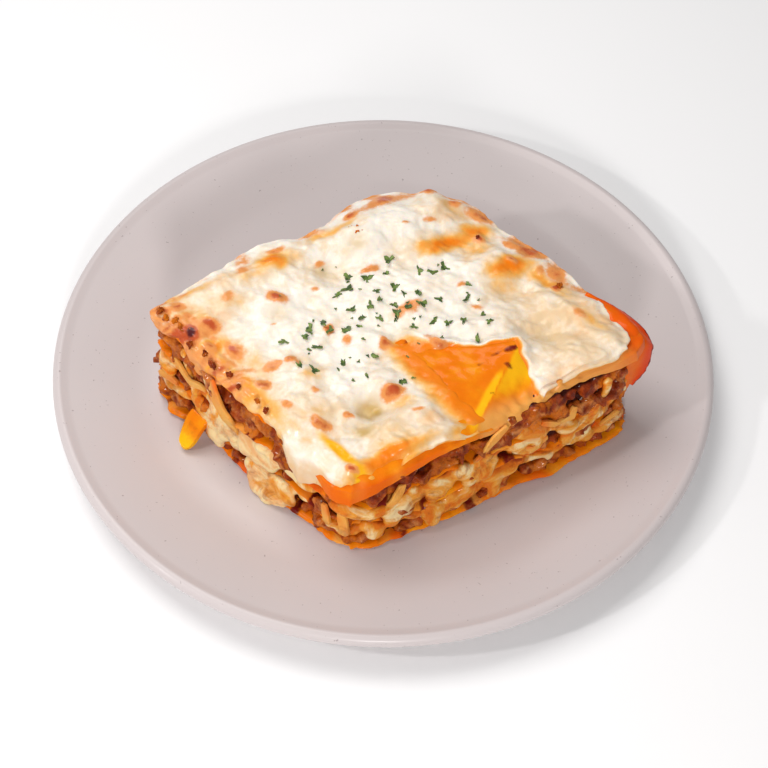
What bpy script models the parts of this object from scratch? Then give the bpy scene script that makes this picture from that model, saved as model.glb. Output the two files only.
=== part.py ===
"""A slice of lasagne on its round stoneware plate.

The plate stands on z = 0 with its centre on the Z axis. The slice lies on the plate with one corner
towards -Y. It is built up from its layers: pasta sheets, minced-meat sauce and melted cheese sauce,
then a top sheet with one bare fold, and a browned cheese top with chopped parsley.
"""

import math
import random

import bmesh
import bpy
from mathutils import Matrix, Vector, noise

MM = 0.001

# Plate
PLATE_RADIUS = 115 * MM
WELL_RADIUS = 78 * MM                 # the flat middle of the plate
RIM_START = 88 * MM                   # where the curve of the well becomes the straight rim
RIM_SLOPE = 0.26
WELL_TOP = 7.0 * MM
PLATE_THICKNESS = 4.2 * MM
FOOT_RADIUS = 62 * MM
FOOT_WIDTH = 6 * MM
LIP_RADIUS = 2.3 * MM
LIP_DROP = 1.9 * MM                   # the middle of the lip's curve lies this far under the rim's upper face
PLATE_SIDES = 72

# Slice: three of its top corners in plan, and its height above the plate at each corner
FRONT_CORNER = Vector((-9.6, -77.2)) * MM
RIGHT_CORNER = Vector((83.1, -25.6)) * MM
LEFT_CORNER = Vector((-75.7, -12.9)) * MM
FRONT_HEIGHT = 35.5 * MM
RIGHT_HEIGHT = 43 * MM
BACK_HEIGHT = 44 * MM
LEFT_HEIGHT = 45.5 * MM
CORNER_PULL = 0.055                   # how far a corner is drawn in, as a share of its radius
CORNER_REACH = 6 * MM
BULGE = (0.0, 5.0, 3.6, 0.0)          # mm that the middle of each side stands out past a straight line
BASE_FLARE = (3.0, 2.0, 2.0, 3.4)     # mm that the base stands out past the top, on the four sides
FLARE_DIP = (2.4, 3.86, 0.15)         # mm that the base is drawn in left of the front corner, where, how wide

# Layers
GAP = 0.36 * MM                       # between neighbouring layers
AROUND = 56                           # points round a layer
EDGE_INSET = 0.07                     # first ring of points in from the outline, as a share of the radius
LAYER_RINGS = (EDGE_INSET, 0.30)
SHEET_RINGS = (EDGE_INSET, 0.24, 0.52)
TOP_RINGS = (0.03, EDGE_INSET, 0.14, 0.22, 0.32, 0.44, 0.58, 0.78)
SAG = 0.35                            # how steeply the outer few millimetres of the upper layers sink
SAG_REACH = 4.2 * MM
EDGE_LIFT = 0.8 * MM                  # by which the melted top's edge stands off the sheet under it
WAVE_HEIGHT = 2.9 * MM                # of the slow waves in which the layers lie
WAVE_LENGTH = 42 * MM
WAVE_CHANGE = 3.2                     # how much the waves differ between the lowest and the highest layer
LOWEST_RELIEF = -2.7 * MM             # keeps some cheese under the deepest hollow

# Parsley
FLAKES = 46
FLAKE_SEED = 7
FLAKE_MIDDLE = (0.50, 0.57)
FLAKE_SPREAD = (0.30, 0.29)
FLAKE_SPACING = 0.035
FLAKE_LENGTH = (2.2 * MM, 4.0 * MM)
FLAKE_THICKNESS = 0.9 * MM
FLAKE_SUNK = 0.45                     # share of its thickness by which a flake is sunk in the cheese
FLAKE_LEAN = 0.25                     # radians
FLAKE_CROWDING = 0.62                 # below 1 spreads the flakes outwards

COLOURS = {
    "stoneware": ((0.60, 0.53, 0.52), 0.28),
    "pasta": ((0.85, 0.42, 0.07), 0.40),
    "ragu": ((0.36, 0.09, 0.02), 0.42),
    "cheese": ((0.86, 0.62, 0.26), 0.38),
    "melted_top": ((0.90, 0.80, 0.62), 0.42),
}

# Mounds and hollows of the top: place along the two sides, height in mm, and reach in mm along each side
TOP_RELIEF = (
    (0.38, 1.00, 3.2, 14, 9),         # hump on the back edge
    (0.18, 0.93, 1.6, 12, 9),
    (0.51, 0.87, -2.6, 6, 8),         # beige hollow behind the middle
    (0.74, 0.98, 4.6, 19, 12),        # high back corner
    (0.96, 0.93, 2.0, 8, 10),
    (0.86, 0.70, -1.8, 12, 5),        # foot of the back corner's hump
    (0.95, 0.60, 2.6, 10, 7),
    (1.00, 0.36, 1.5, 7, 9),
    (0.90, 0.46, -1.4, 12, 5),
    (0.50, 0.63, 1.3, 24, 16),        # the white middle
    (0.25, 0.25, -3.4, 6, 6),         # hollow with a strip of cheese across it
    (0.16, 0.18, -2.2, 5, 5),
    (0.28, 0.15, 1.9, 16, 5),         # swell in front of the hollow
    (0.15, 0.42, 1.4, 9, 9),
    (0.33, 0.33, 1.5, 7, 6),
    (0.84, 0.24, -1.8, 9, 7),
    (0.74, 0.34, 1.2, 9, 8),
    (0.92, 0.12, 1.2, 7, 6),
    (0.05, 0.66, -1.6, 6, 22),        # the browned left edge falls away
    (0.03, 0.93, 1.6, 6, 6),
)

# The bare fold of the top sheet, along the two sides: its outline, and its ridge from the peak to the edge
FOLD_OUTLINE = (
    (0.425, 0.012), (0.415, 0.12), (0.430, 0.25), (0.437, 0.36), (0.450, 0.46), (0.500, 0.44),
    (0.555, 0.36), (0.640, 0.28), (0.730, 0.24), (0.705, 0.16), (0.675, 0.08), (0.650, 0.012),
)
FOLD_PEAK = Vector((0.705, 0.205))
FOLD_END = Vector((0.455, 0.03))
FOLD_HEIGHT = 3.6 * MM
FOLD_REACH = (0.20, 0.06)             # from the ridge to the foot of its gentle and of its steep side
FOLD_DROP = 3.0 * MM                  # how far the bare sheet sinks to the slice's edge
FOLD_CLEARANCE = 0.012                # between the fold and the cheese round it
FOLD_BASE = 0.88                      # share of the height, inside the top sheet, from which the fold rises
FOLD_SUNK = 0.7 * MM                  # the bare sheet's outline lies this much below the cheese
FOLD_INSETS = (0.012, 0.022, 0.022)   # rings of points in the fold's upper face
FOLD_FRONT = 0.05                     # the part of the outline that lies at the slice's edge
FOLD_OVERCUT = 0.12                   # how far the opening runs on past that edge
OPENING_RISE = 9 * MM

side_right = RIGHT_CORNER - FRONT_CORNER
side_left = LEFT_CORNER - FRONT_CORNER
slice_middle = FRONT_CORNER + (side_right + side_left) / 2


def smoothstep(low, high, value):
    share = min(max((value - low) / (high - low), 0.0), 1.0)
    return share * share * (3 - 2 * share)


def bump(turn, middle, width):
    """1 at one place of the outline, falling to 0 over width. Both are in sides of the slice."""
    away = abs((turn - middle + 2) % 4 - 2)
    return math.exp(-((away / width) ** 2))


# The plate

def plate_top(radius):
    """Height of the plate's upper face: a flat well, a gentle curve, then the straight rim."""
    curve = RIM_START - WELL_RADIUS
    if radius <= WELL_RADIUS:
        return WELL_TOP
    if radius <= RIM_START:
        return WELL_TOP + RIM_SLOPE * (radius - WELL_RADIUS) ** 2 / (2 * curve)
    return WELL_TOP + RIM_SLOPE * (radius - WELL_RADIUS - curve / 2)


def plate_profile():
    """Half section of the plate, from the middle of its top round the lip to the middle of its underside."""
    upper = [0.0, 50 * MM, WELL_RADIUS, 81 * MM, 84 * MM, RIM_START, 98 * MM, 109 * MM]
    points = [(radius, plate_top(radius)) for radius in upper]
    lip_x = PLATE_RADIUS - LIP_RADIUS
    lip_z = plate_top(lip_x) - LIP_DROP
    for degrees in (140, 90, 45, 0, -50):
        angle = math.radians(degrees)
        points.append((lip_x + LIP_RADIUS * math.cos(angle), lip_z + LIP_RADIUS * math.sin(angle)))
    under = WELL_TOP - PLATE_THICKNESS
    points.append((106 * MM, plate_top(106 * MM) - PLATE_THICKNESS))
    points.append((RIM_START, plate_top(RIM_START) - PLATE_THICKNESS))
    points.append((FOOT_RADIUS + 6 * MM, under))
    points.append((FOOT_RADIUS + 1 * MM, 0.5 * MM))
    points.append((FOOT_RADIUS, 0.0))
    points.append((FOOT_RADIUS - FOOT_WIDTH, 0.0))
    points.append((FOOT_RADIUS - FOOT_WIDTH - 2 * MM, under))
    points.append((0.0, under))
    return points


# The slice's own space: a and b run from 0 to 1 from the front corner to the right and to the left
# corner, and share is the height from 0 at the plate to 1 at the top.

def plan(a, b):
    return FRONT_CORNER + a * side_right + b * side_left


def sides_of(point):
    """The a and b of a point in plan."""
    away = point - FRONT_CORNER
    area = side_right.cross(side_left)
    return away.cross(side_left) / area, side_right.cross(away) / area


def slice_height(a, b):
    front = FRONT_HEIGHT + (RIGHT_HEIGHT - FRONT_HEIGHT) * a
    back = LEFT_HEIGHT + (BACK_HEIGHT - LEFT_HEIGHT) * a
    return front + (back - front) * b


def outline(turn):
    """Point of the slice's outline, from its middle. turn has a corner at 0, 1, 2 and 3."""
    side = int(turn) % 4
    along = 2 * (turn - int(turn)) - 1
    p, q = ((along, -1), (1, along), (-along, 1), (-1, -along))[side]
    to_corner = (1 - abs(along)) * side_right.length / 2
    pull = 1 - CORNER_PULL * math.exp(-((to_corner / CORNER_REACH) ** 2))
    edge = (side_right, side_left, -side_right, -side_left)[side]
    outward = Vector((edge.y, -edge.x)).normalized()
    bulge = BULGE[side] * MM * (1 - along ** 4)
    return (p * side_right + q * side_left) * pull / 2 + outward * bulge


def flare(turn):
    """How far the base stands out at this place of the outline."""
    side = int(turn) % 4
    along = turn - int(turn)
    before, here, after = BASE_FLARE[side - 1], BASE_FLARE[side], BASE_FLARE[(side + 1) % 4]
    come_in = smoothstep(-0.25, 0.25, along)
    go_out = smoothstep(0.75, 1.25, along)
    dip, middle, width = FLARE_DIP
    stand = before * (1 - come_in) + here * (come_in - go_out) + after * go_out
    return (stand - dip * bump(turn, middle, width)) * MM


def sag(a, b, share):
    """The upper layers sink over their outer few millimetres."""
    inner = 1 - EDGE_INSET
    beyond_a = (abs(2 * a - 1) - inner) * side_right.length / 2
    beyond_b = (abs(2 * b - 1) - inner) * side_left.length / 2
    return SAG * min(max(0.0, beyond_a, beyond_b), SAG_REACH) * smoothstep(0.1, 1.0, share)


def wave(point, share):
    """The layers lie in slow waves, none at the plate."""
    where = Vector((point.x / WAVE_LENGTH, point.y / WAVE_LENGTH, WAVE_CHANGE * share))
    return WAVE_HEIGHT * noise.noise(where) * smoothstep(0.0, 0.35, share)


def height_at(point, share):
    a, b = sides_of(point)
    lying = plate_top(point.length) + GAP
    return lying + share * slice_height(a, b) + wave(point, share) - sag(a, b, share)


def place(ring, turn, share, out=0.0, lift=0.0):
    """A point of the slice. ring is 0 in the middle and 1 at the outline; out and lift move it, in metres."""
    offset = outline(turn)
    spread = flare(turn) * (1 - share) * ring ** 4 + out
    point = slice_middle + offset * ring + offset.normalized() * spread
    return Vector((point.x, point.y, height_at(point, share) + lift))


def relief(a, b):
    """Mounds and hollows of the melted top."""
    total = 0.0
    for at_a, at_b, height, reach_a, reach_b in TOP_RELIEF:
        x = (a - at_a) * side_right.length / (reach_a * MM)
        y = (b - at_b) * side_left.length / (reach_b * MM)
        total += height * math.exp(-(x * x + y * y))
    return max(total * MM, LOWEST_RELIEF)


def fold(a, b):
    """Height of the bare fold over the top: a ridge from its peak down to the edge, steep on its right."""
    ridge = FOLD_END - FOLD_PEAK
    away = Vector((a, b)) - FOLD_PEAK
    along = min(max(away.dot(ridge) / ridge.length_squared, 0.0), 1.0)
    across = away.cross(ridge) / ridge.length
    reach = FOLD_REACH[0] if across > 0 else FOLD_REACH[1]
    side = max(0.0, 1 - abs(across) / reach)
    return FOLD_HEIGHT * side * (1 - 0.7 * along) - FOLD_DROP * (1 - smoothstep(0.0, 0.22, b))


def top_height(a, b):
    return height_at(plan(a, b), 1.0) + relief(a, b)


# How far each layer's edge stands out of the slice's side, in mm, round the outline. turn 0 to 1 is the
# right-hand side from the front corner, and turn 3 to 4 the left-hand side up to it.

def crumbs(turn, level, seed, size):
    """Knobbly edge of minced meat."""
    return size * noise.noise(Vector((turn * 17, level, seed)))


def ruffle(turn, seed):
    """Slow ruffle of a pasta sheet's cut edge."""
    return noise.noise(Vector((turn * 5.3, seed, 0.7)))


def swell(turn, level, seed):
    """Soft swelling edge of melted cheese."""
    return 1.1 * math.sin(math.pi * level) + noise.noise(Vector((turn * 8, level, seed)))


def edge_pasta_1(turn, level):
    tips = 4.6 * bump(turn, 3.17, 0.05) + 1.4 * bump(turn, 0.65, 0.035)
    return 1.0 + 1.4 * ruffle(turn, 1) + tips + 2.0 * bump(turn, 0.76, 0.22)


def edge_ragu_1(turn, level):
    out = 3.0 * bump(turn, 3.17, 0.06) + 1.0 * bump(turn, 0.76, 0.22)
    return -0.6 + crumbs(turn, level * 2, 2, 2.0) + out


def edge_cheese_1(turn, level):
    return -0.2 + swell(turn, level, 3) + 2.6 * bump(turn, 3.68, 0.13) + 1.6 * bump(turn, 3.35, 0.12)


def edge_pasta_2(turn, level):
    return 0.7 + 1.3 * ruffle(turn, 4) + 3.4 * bump(turn, 3.32, 0.055)


def edge_ragu_2(turn, level):
    return -0.8 + crumbs(turn, level * 2, 5, 2.4) - 1.2 * bump(turn, 3.33, 0.07)


def edge_cheese_2(turn, level):
    return 0.1 + swell(turn, level, 6) + 1.4 * bump(turn, 3.3, 0.12) + 1.0 * bump(turn, 0.4, 0.2)


def edge_pasta_3(turn, level):
    folds = 2.6 * bump(turn, 3.45, 0.10) + 1.8 * bump(turn, 3.14, 0.05) + 1.6 * bump(turn, 0.55, 0.05)
    return 0.5 + 1.5 * ruffle(turn, 7) + folds


def edge_ragu_3(turn, level):
    back = 1.4 * bump(turn, 1.55, 0.30) + 1.2 * bump(turn, 2.30, 0.22)
    middle = -0.8 + 0.5 * math.sin(math.pi * level) + back
    return middle + crumbs(turn, level * 4, 8, 2.8) - 1.2 * bump(turn, 3.45, 0.06)


def edge_pasta_4(turn, level):
    corners = 5.6 * bump(turn, 1.07, 0.11) + 3.0 * bump(turn, 3.0, 0.04)
    back = 2.4 * bump(turn, 1.55, 0.30) + 2.2 * bump(turn, 2.30, 0.22)
    return 0.9 + ruffle(turn, 9) + corners + back - 1.4 * bump(turn, 3.73, 0.10)


def edge_cheese_top(turn, level):
    back = 3.0 * bump(turn, 1.50, 0.22) + 3.2 * bump(turn, 1.93, 0.16) + 4.2 * bump(turn, 2.30, 0.17)
    back += 2.6 * bump(turn, 2.62, 0.11) + 2.0 * bump(turn, 3.0, 0.05)
    bare = -1.3 * bump(turn, 0.12, 0.20) - 1.5 * bump(turn, 0.80, 0.13)
    return max(-0.9 + 0.7 * swell(turn, level, 11) + back + bare + 3.6 * bump(turn, 3.73, 0.06), -2.4)


# Each layer: the shares of the slice's height that it fills, rows of faces up its side, its edge and its
# material
LAYERS = (
    ("pasta_sheet_1", 0.000, 0.055, 1, edge_pasta_1, "pasta"),
    ("ragu_1", 0.055, 0.160, 2, edge_ragu_1, "ragu"),
    ("cheese_1", 0.160, 0.285, 2, edge_cheese_1, "cheese"),
    ("pasta_sheet_2", 0.285, 0.335, 1, edge_pasta_2, "pasta"),
    ("ragu_2", 0.335, 0.440, 2, edge_ragu_2, "ragu"),
    ("cheese_2", 0.440, 0.565, 2, edge_cheese_2, "cheese"),
    ("pasta_sheet_3", 0.565, 0.615, 1, edge_pasta_3, "pasta"),
    ("ragu_3", 0.615, 0.855, 4, edge_ragu_3, "ragu"),
    ("pasta_sheet_4", 0.855, 0.905, 1, edge_pasta_4, "pasta"),
    ("cheese_top", 0.905, 1.000, 2, edge_cheese_top, "melted_top"),
)

# Tongues of a layer that hang down over the side: the layer, the middle of the tongue on the outline, its
# half width there, the shares of height between which it hangs, how far out its top and its tip lie in mm,
# and its thickness in mm
TONGUES = (
    ("pasta_sheet_4", 1.10, 0.110, 0.885, 0.54, 4.2, 9.0, 1.6),   # red-edged curl over the right corner
    ("cheese_top", 3.73, 0.070, 0.955, 0.52, 2.5, 3.0, 1.8),      # cheese run down the left side
    ("cheese_1", 3.64, 0.130, 0.230, 0.03, 1.2, 5.2, 2.2),        # cheese oozing onto the plate
    ("cheese_1", 0.27, 0.030, 0.220, 0.03, 0.4, 2.6, 1.8),
    ("pasta_sheet_2", 3.33, 0.050, 0.310, 0.05, 2.4, 11.5, 1.6),  # pasta tongue near the left corner
)


def add_round_face(mesh, height, insets):
    """A round face of radius 1, with a ring of points at each inset from its outline."""
    made = bmesh.ops.create_circle(mesh, cap_ends=True, radius=1, segments=AROUND)
    bmesh.ops.translate(mesh, verts=made["verts"], vec=(0, 0, height))
    middle = made["verts"][0].link_faces[0]
    last = 0.0
    for inset in insets:
        bmesh.ops.inset_individual(mesh, faces=[middle], thickness=inset - last)
        last = inset
    bmesh.ops.poke(mesh, faces=[middle])


def slab(lower_rings, upper_rings, rows):
    """A round slab of radius 1 and height 1."""
    mesh = bmesh.new()
    add_round_face(mesh, 0, lower_rings)
    add_round_face(mesh, 1, upper_rings)
    rims = [edge for edge in mesh.edges if edge.is_boundary]
    bmesh.ops.bridge_loops(mesh, edges=rims)
    upright = [edge for edge in mesh.edges if abs(edge.verts[0].co.z - edge.verts[1].co.z) > 0.5]
    if rows > 1:
        bmesh.ops.subdivide_edges(mesh, edges=upright, cuts=rows - 1, use_grid_fill=True)
    return mesh


def finished(mesh, name, collection, finish):
    """The object made of this mesh, with its faces pointing out."""
    bmesh.ops.triangulate(mesh, faces=mesh.faces[:])
    bmesh.ops.recalc_face_normals(mesh, faces=mesh.faces[:])
    if mesh.calc_volume(signed=True) < 0:
        bmesh.ops.reverse_faces(mesh, faces=mesh.faces[:])
    data = bpy.data.meshes.new(name)
    mesh.to_mesh(data)
    mesh.free()
    data.materials.append(finish)
    made = bpy.data.objects.new(name, data)
    collection.objects.link(made)
    return made


def build_layer(collection, finish, name, low, high, rows, edge):
    top = name == "cheese_top"
    lower_rings = SHEET_RINGS if top else LAYER_RINGS
    upper_rings = {"pasta_sheet_4": SHEET_RINGS, "cheese_top": TOP_RINGS}.get(name, LAYER_RINGS)
    mesh = slab(lower_rings, upper_rings, rows)
    for vert in mesh.verts:
        level = vert.co.z
        ring = min(math.hypot(vert.co.x, vert.co.y), 1.0)
        turn = (math.atan2(vert.co.y, vert.co.x) / (math.pi / 2)) % 4
        out = edge(turn, level) * MM * smoothstep(1 - EDGE_INSET, 1, ring)
        lift = GAP * (0.5 - level)
        if top:
            lift += EDGE_LIFT * (1 - level) * smoothstep(1 - EDGE_INSET, 1, ring)
        point = place(ring, turn, low + (high - low) * level, out, lift)
        if top and level > 0:
            point.z += level * relief(*sides_of(point.xy))
        vert.co = point
    return finished(mesh, name, collection, finish)


def build_tongue(collection, finish, name, middle, half_width, high, low, out_top, out_tip, thickness):
    """A thick tongue, widest at its root and rounded at its tip, that hangs outside the slice's side."""
    mesh = bmesh.new()
    bmesh.ops.create_grid(mesh, x_segments=5, y_segments=4, size=1)
    back = mesh.verts[:]
    made = bmesh.ops.extrude_face_region(mesh, geom=mesh.faces[:])
    front = {item for item in made["geom"] if isinstance(item, bmesh.types.BMVert)}
    for vert in back + list(front):
        across, down = vert.co.x, (1 - vert.co.y) / 2
        width = half_width * math.sqrt(max(1 - 0.75 * down ** 2.4, 0.0))
        curl = 1 - 0.25 * across ** 2
        out = (out_top + (out_tip - out_top) * down) * curl
        out += thickness * (0.5 if vert in front else -0.5)
        vert.co = place(1, (middle + across * width) % 4, high + (low - high) * down * curl, out * MM)
    return finished(mesh, name, collection, finish)


def build_fold(collection, finish, clearance=0.0, rise=0.0):
    """The block of the bare fold, or with a clearance and a rise the cutter that opens the cheese over it."""
    mesh = bmesh.new()
    middle = sum((Vector(corner) for corner in FOLD_OUTLINE), Vector((0, 0))) / len(FOLD_OUTLINE)
    corners = []
    for a, b in FOLD_OUTLINE:
        away = (Vector((a, b)) - middle).normalized() * clearance
        a, b = a + away.x, b + away.y
        if rise and b < FOLD_FRONT:
            b = -FOLD_OVERCUT
        corners.append(mesh.verts.new((a, b, 0)))
    face = mesh.faces.new(corners)
    if not rise:
        for inset in FOLD_INSETS:
            bmesh.ops.inset_region(mesh, faces=[face], thickness=inset)
    bmesh.ops.triangulate(mesh, faces=mesh.faces[:])
    base = mesh.verts[:]
    made = bmesh.ops.extrude_face_region(mesh, geom=mesh.faces[:])
    upper = {item for item in made["geom"] if isinstance(item, bmesh.types.BMVert)}
    for vert in base + list(upper):
        a, b = vert.co.x, vert.co.y
        point = plan(a, b)
        if vert in upper:
            height = top_height(a, b) + (rise or fold(a, b) - FOLD_SUNK)
        else:
            height = height_at(point, FOLD_BASE)
        vert.co = (point.x, point.y, height)
    return finished(mesh, "fold", collection, finish)


def over_fold(a, b):
    """True where the point lies inside the fold's outline."""
    crossings = 0
    for (a_1, b_1), (a_2, b_2) in zip(FOLD_OUTLINE, FOLD_OUTLINE[1:] + FOLD_OUTLINE[:1]):
        if (b_1 > b) != (b_2 > b) and a < a_1 + (a_2 - a_1) * (b - b_1) / (b_2 - b_1):
            crossings += 1
    return crossings % 2 == 1


def flake_places():
    """Places along the two sides for the parsley: thick in the middle, thinning outwards, none touching."""
    draw = random.Random(FLAKE_SEED)
    found = []
    while len(found) < FLAKES:
        angle = draw.uniform(0, math.tau)
        reach = draw.random() ** FLAKE_CROWDING
        a = FLAKE_MIDDLE[0] + FLAKE_SPREAD[0] * reach * math.cos(angle)
        b = FLAKE_MIDDLE[1] + FLAKE_SPREAD[1] * reach * math.sin(angle)
        length = draw.uniform(*FLAKE_LENGTH)
        heading = draw.uniform(0, math.tau)
        lean = draw.uniform(-FLAKE_LEAN, FLAKE_LEAN)
        near = [(a + x * FLAKE_SPACING, b + y * FLAKE_SPACING) for x in (-1, 0, 1) for y in (-1, 0, 1)]
        on_cheese = not any(over_fold(*place_near) for place_near in near)
        apart = all(math.hypot(a - flake[0], b - flake[1]) > FLAKE_SPACING for flake in found)
        if apart and on_cheese:
            found.append((a, b, length, heading, lean))
    return found


def build_flake(collection, finish, number, a, b, length, heading, lean):
    mesh = bmesh.new()
    bmesh.ops.create_circle(mesh, cap_ends=True, radius=length / 2, segments=5)
    bmesh.ops.scale(mesh, verts=mesh.verts[:], vec=(1, 0.45, 1))
    made = bmesh.ops.extrude_face_region(mesh, geom=mesh.faces[:])
    raised = [item for item in made["geom"] if isinstance(item, bmesh.types.BMVert)]
    bmesh.ops.translate(mesh, verts=raised, vec=(0, 0, FLAKE_THICKNESS))
    point = plan(a, b)
    turned = Matrix.Rotation(heading, 4, "Z") @ Matrix.Rotation(lean, 4, "Y")
    sunk = Matrix.Translation((point.x, point.y, top_height(a, b) - FLAKE_THICKNESS * FLAKE_SUNK))
    bmesh.ops.transform(mesh, verts=mesh.verts[:], matrix=sunk @ turned)
    return finished(mesh, f"flake_{number}", collection, finish)


def new_collection(name, hidden=False):
    made = bpy.data.collections.new(name)
    bpy.context.scene.collection.children.link(made)
    made.hide_render = hidden
    return made


def join_into(target, pieces, operation="UNION", solver="EXACT"):
    """Joins the collection's pieces to the target, or cuts them from it, and removes them."""
    for piece in pieces.objects:
        bpy.context.view_layer.objects.active = piece
        for modifier in list(piece.modifiers):
            with bpy.context.temp_override(object=piece):
                bpy.ops.object.modifier_apply(modifier=modifier.name)
    boolean = target.modifiers.new("join", "BOOLEAN")
    boolean.operand_type = "COLLECTION"
    boolean.collection = pieces
    boolean.operation = operation
    boolean.solver = solver
    with bpy.context.temp_override(object=target):
        bpy.ops.object.modifier_apply(modifier=boolean.name)
    for piece in list(pieces.objects):
        bpy.data.objects.remove(piece)
    bpy.data.collections.remove(pieces)


def build_plate(collection, finish):
    mesh = bpy.data.meshes.new("plate")
    points = [(x, 0.0, z) for x, z in plate_profile()]
    mesh.from_pydata(points, [(i, i + 1) for i in range(len(points) - 1)], [])
    mesh.materials.append(finish)
    plate = bpy.data.objects.new("plate", mesh)
    collection.objects.link(plate)
    turn = plate.modifiers.new("turn", "SCREW")
    turn.axis = "Z"
    turn.angle = math.tau
    turn.steps = turn.render_steps = PLATE_SIDES
    turn.use_smooth_shade = True
    turn.use_merge_vertices = True
    turn.merge_threshold = 0.00005


def build_slice(collection, finishes):
    for name, low, high, rows, edge, finish in LAYERS:
        layer = build_layer(collection, finishes[finish], name, low, high, rows, edge)
        if name == "cheese_top":
            cutter = new_collection("fold opening", hidden=True)
            build_fold(cutter, finishes[finish], FOLD_CLEARANCE, OPENING_RISE)
            join_into(layer, cutter, operation="DIFFERENCE")
        if name == "pasta_sheet_4":
            ridge = new_collection("fold")
            build_fold(ridge, finishes[finish])
            join_into(layer, ridge)
        tongues = [tongue for tongue in TONGUES if tongue[0] == name]
        if tongues:
            hanging = new_collection("tongues")
            for tongue in tongues:
                build_tongue(hanging, finishes[finish], *tongue)
            join_into(layer, hanging)
        if name == "cheese_top":
            parsley = new_collection("parsley")
            for number, flake in enumerate(flake_places()):
                build_flake(parsley, finishes[finish], number, *flake)
            join_into(layer, parsley)


def main():
    for old in list(bpy.data.objects):
        bpy.data.objects.remove(old)
    finishes = {}
    for name, (colour, roughness) in COLOURS.items():
        made = bpy.data.materials.new(name)
        made.use_nodes = True
        shader = made.node_tree.nodes["Principled BSDF"]
        shader.inputs["Base Color"].default_value = (*colour, 1)
        shader.inputs["Roughness"].default_value = roughness
        shader.inputs["Metallic"].default_value = 0.0
        finishes[name] = made
    collection = new_collection("lasagne on a plate")
    build_plate(collection, finishes["stoneware"])
    build_slice(collection, finishes)


main()
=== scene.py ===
import math
import random

import bpy
from mathutils import Matrix, Vector, geometry, noise


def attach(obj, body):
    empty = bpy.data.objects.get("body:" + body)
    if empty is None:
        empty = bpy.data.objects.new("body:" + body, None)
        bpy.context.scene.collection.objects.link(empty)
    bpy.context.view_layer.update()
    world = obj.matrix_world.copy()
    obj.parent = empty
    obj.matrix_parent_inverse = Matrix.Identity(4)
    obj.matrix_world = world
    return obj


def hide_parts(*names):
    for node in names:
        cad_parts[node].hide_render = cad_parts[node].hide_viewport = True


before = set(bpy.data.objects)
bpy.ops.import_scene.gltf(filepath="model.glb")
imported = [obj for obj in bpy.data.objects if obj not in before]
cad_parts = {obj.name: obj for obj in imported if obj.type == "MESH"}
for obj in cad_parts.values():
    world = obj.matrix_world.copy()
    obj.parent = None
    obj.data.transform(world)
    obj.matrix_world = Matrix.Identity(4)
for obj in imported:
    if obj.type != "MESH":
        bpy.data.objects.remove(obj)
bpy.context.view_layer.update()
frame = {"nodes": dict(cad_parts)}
mm = 0.001
print("frame loaded:", ", ".join(frame["nodes"]))

# The slice's space. a and b run from 0 to 1 from the front corner to the right and to the left corner,
# share is the height from 0 at the plate to 1 at the top, ring is 0 in the middle and 1 at the outline,
# and turn goes round the outline from the front corner, with a corner at 0, 1, 2 and 3.
sliceShape = {
    "front": Vector((-9.6, -77.2)) * mm,
    "right": Vector((83.1, -25.6)) * mm,
    "left": Vector((-75.7, -12.9)) * mm,
    "heights": (35.5 * mm, 43 * mm, 44 * mm, 45.5 * mm),   # at the front, right, back and left corner
    "usualHeight": 40 * mm,
    "cornerPull": 0.055,
    "cornerReach": 6 * mm,
    "bulge": (0.0, 5.0, 3.6, 0.0),       # mm that the middle of each side stands out past a straight line
    "flare": (3.0, 2.0, 2.0, 3.4),       # mm that the base stands out past the top, on the four sides
    "flareDip": (2.4, 3.86, 0.15),       # the flare is less at one place: mm, turn, width
    "layersOut": ((2.8, 3.02, 0.07), (1.6, 2.20, 0.30), (0.8, 1.6, 0.2)),   # so for all layers
    "slump": (0.115, 0.060),             # share of height that the layers' edges rise or sink, slow and quick
    "gap": 0.36 * mm,
    "edgeInset": 0.07,
    "sag": 0.35,
    "sagReach": 4.2 * mm,
    "waveHeight": 2.9 * mm,
    "waveLength": 42 * mm,
    "waveChange": 3.2,
    "lowestRelief": -2.7 * mm,
}
plateShape = {
    "radius": 115 * mm,
    "well": 78 * mm,
    "rimStart": 88 * mm,
    "rimSlope": 0.26,
    "wellTop": 7 * mm,
    "thickness": 4.2 * mm,
    "foot": 62 * mm,
    "footWidth": 6 * mm,
    "lip": 2.3 * mm,
    "lipDrop": 1.9 * mm,
    "lipBelow": 106 * mm,    # where the lip meets the underside
    "lipAbove": 110.2 * mm,  # where it meets the top
}
# Mounds and hollows of the top: a, b, height in mm, and reach in mm along a and b
topRelief = (
    (0.38, 1.0, 3.2, 14, 9), (0.18, 0.93, 1.6, 12, 9), (0.51, 0.87, -2.6, 6, 8), (0.74, 0.98, 4.6, 19, 12),
    (0.96, 0.93, 2.0, 8, 10), (0.86, 0.7, -1.8, 12, 5), (0.95, 0.6, 2.6, 10, 7), (1.0, 0.36, 1.5, 7, 9),
    (0.9, 0.46, -1.4, 12, 5), (0.5, 0.63, 1.3, 24, 16), (0.25, 0.25, -3.4, 6, 6), (0.16, 0.18, -2.2, 5, 5),
    (0.28, 0.15, 1.9, 16, 5), (0.15, 0.42, 1.4, 9, 9), (0.33, 0.33, 1.5, 7, 6), (0.84, 0.24, -1.8, 9, 7),
    (0.74, 0.34, 1.2, 9, 8), (0.92, 0.12, 1.2, 7, 6), (0.05, 0.66, -1.6, 6, 22), (0.03, 0.93, 1.6, 6, 6),
)
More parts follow.
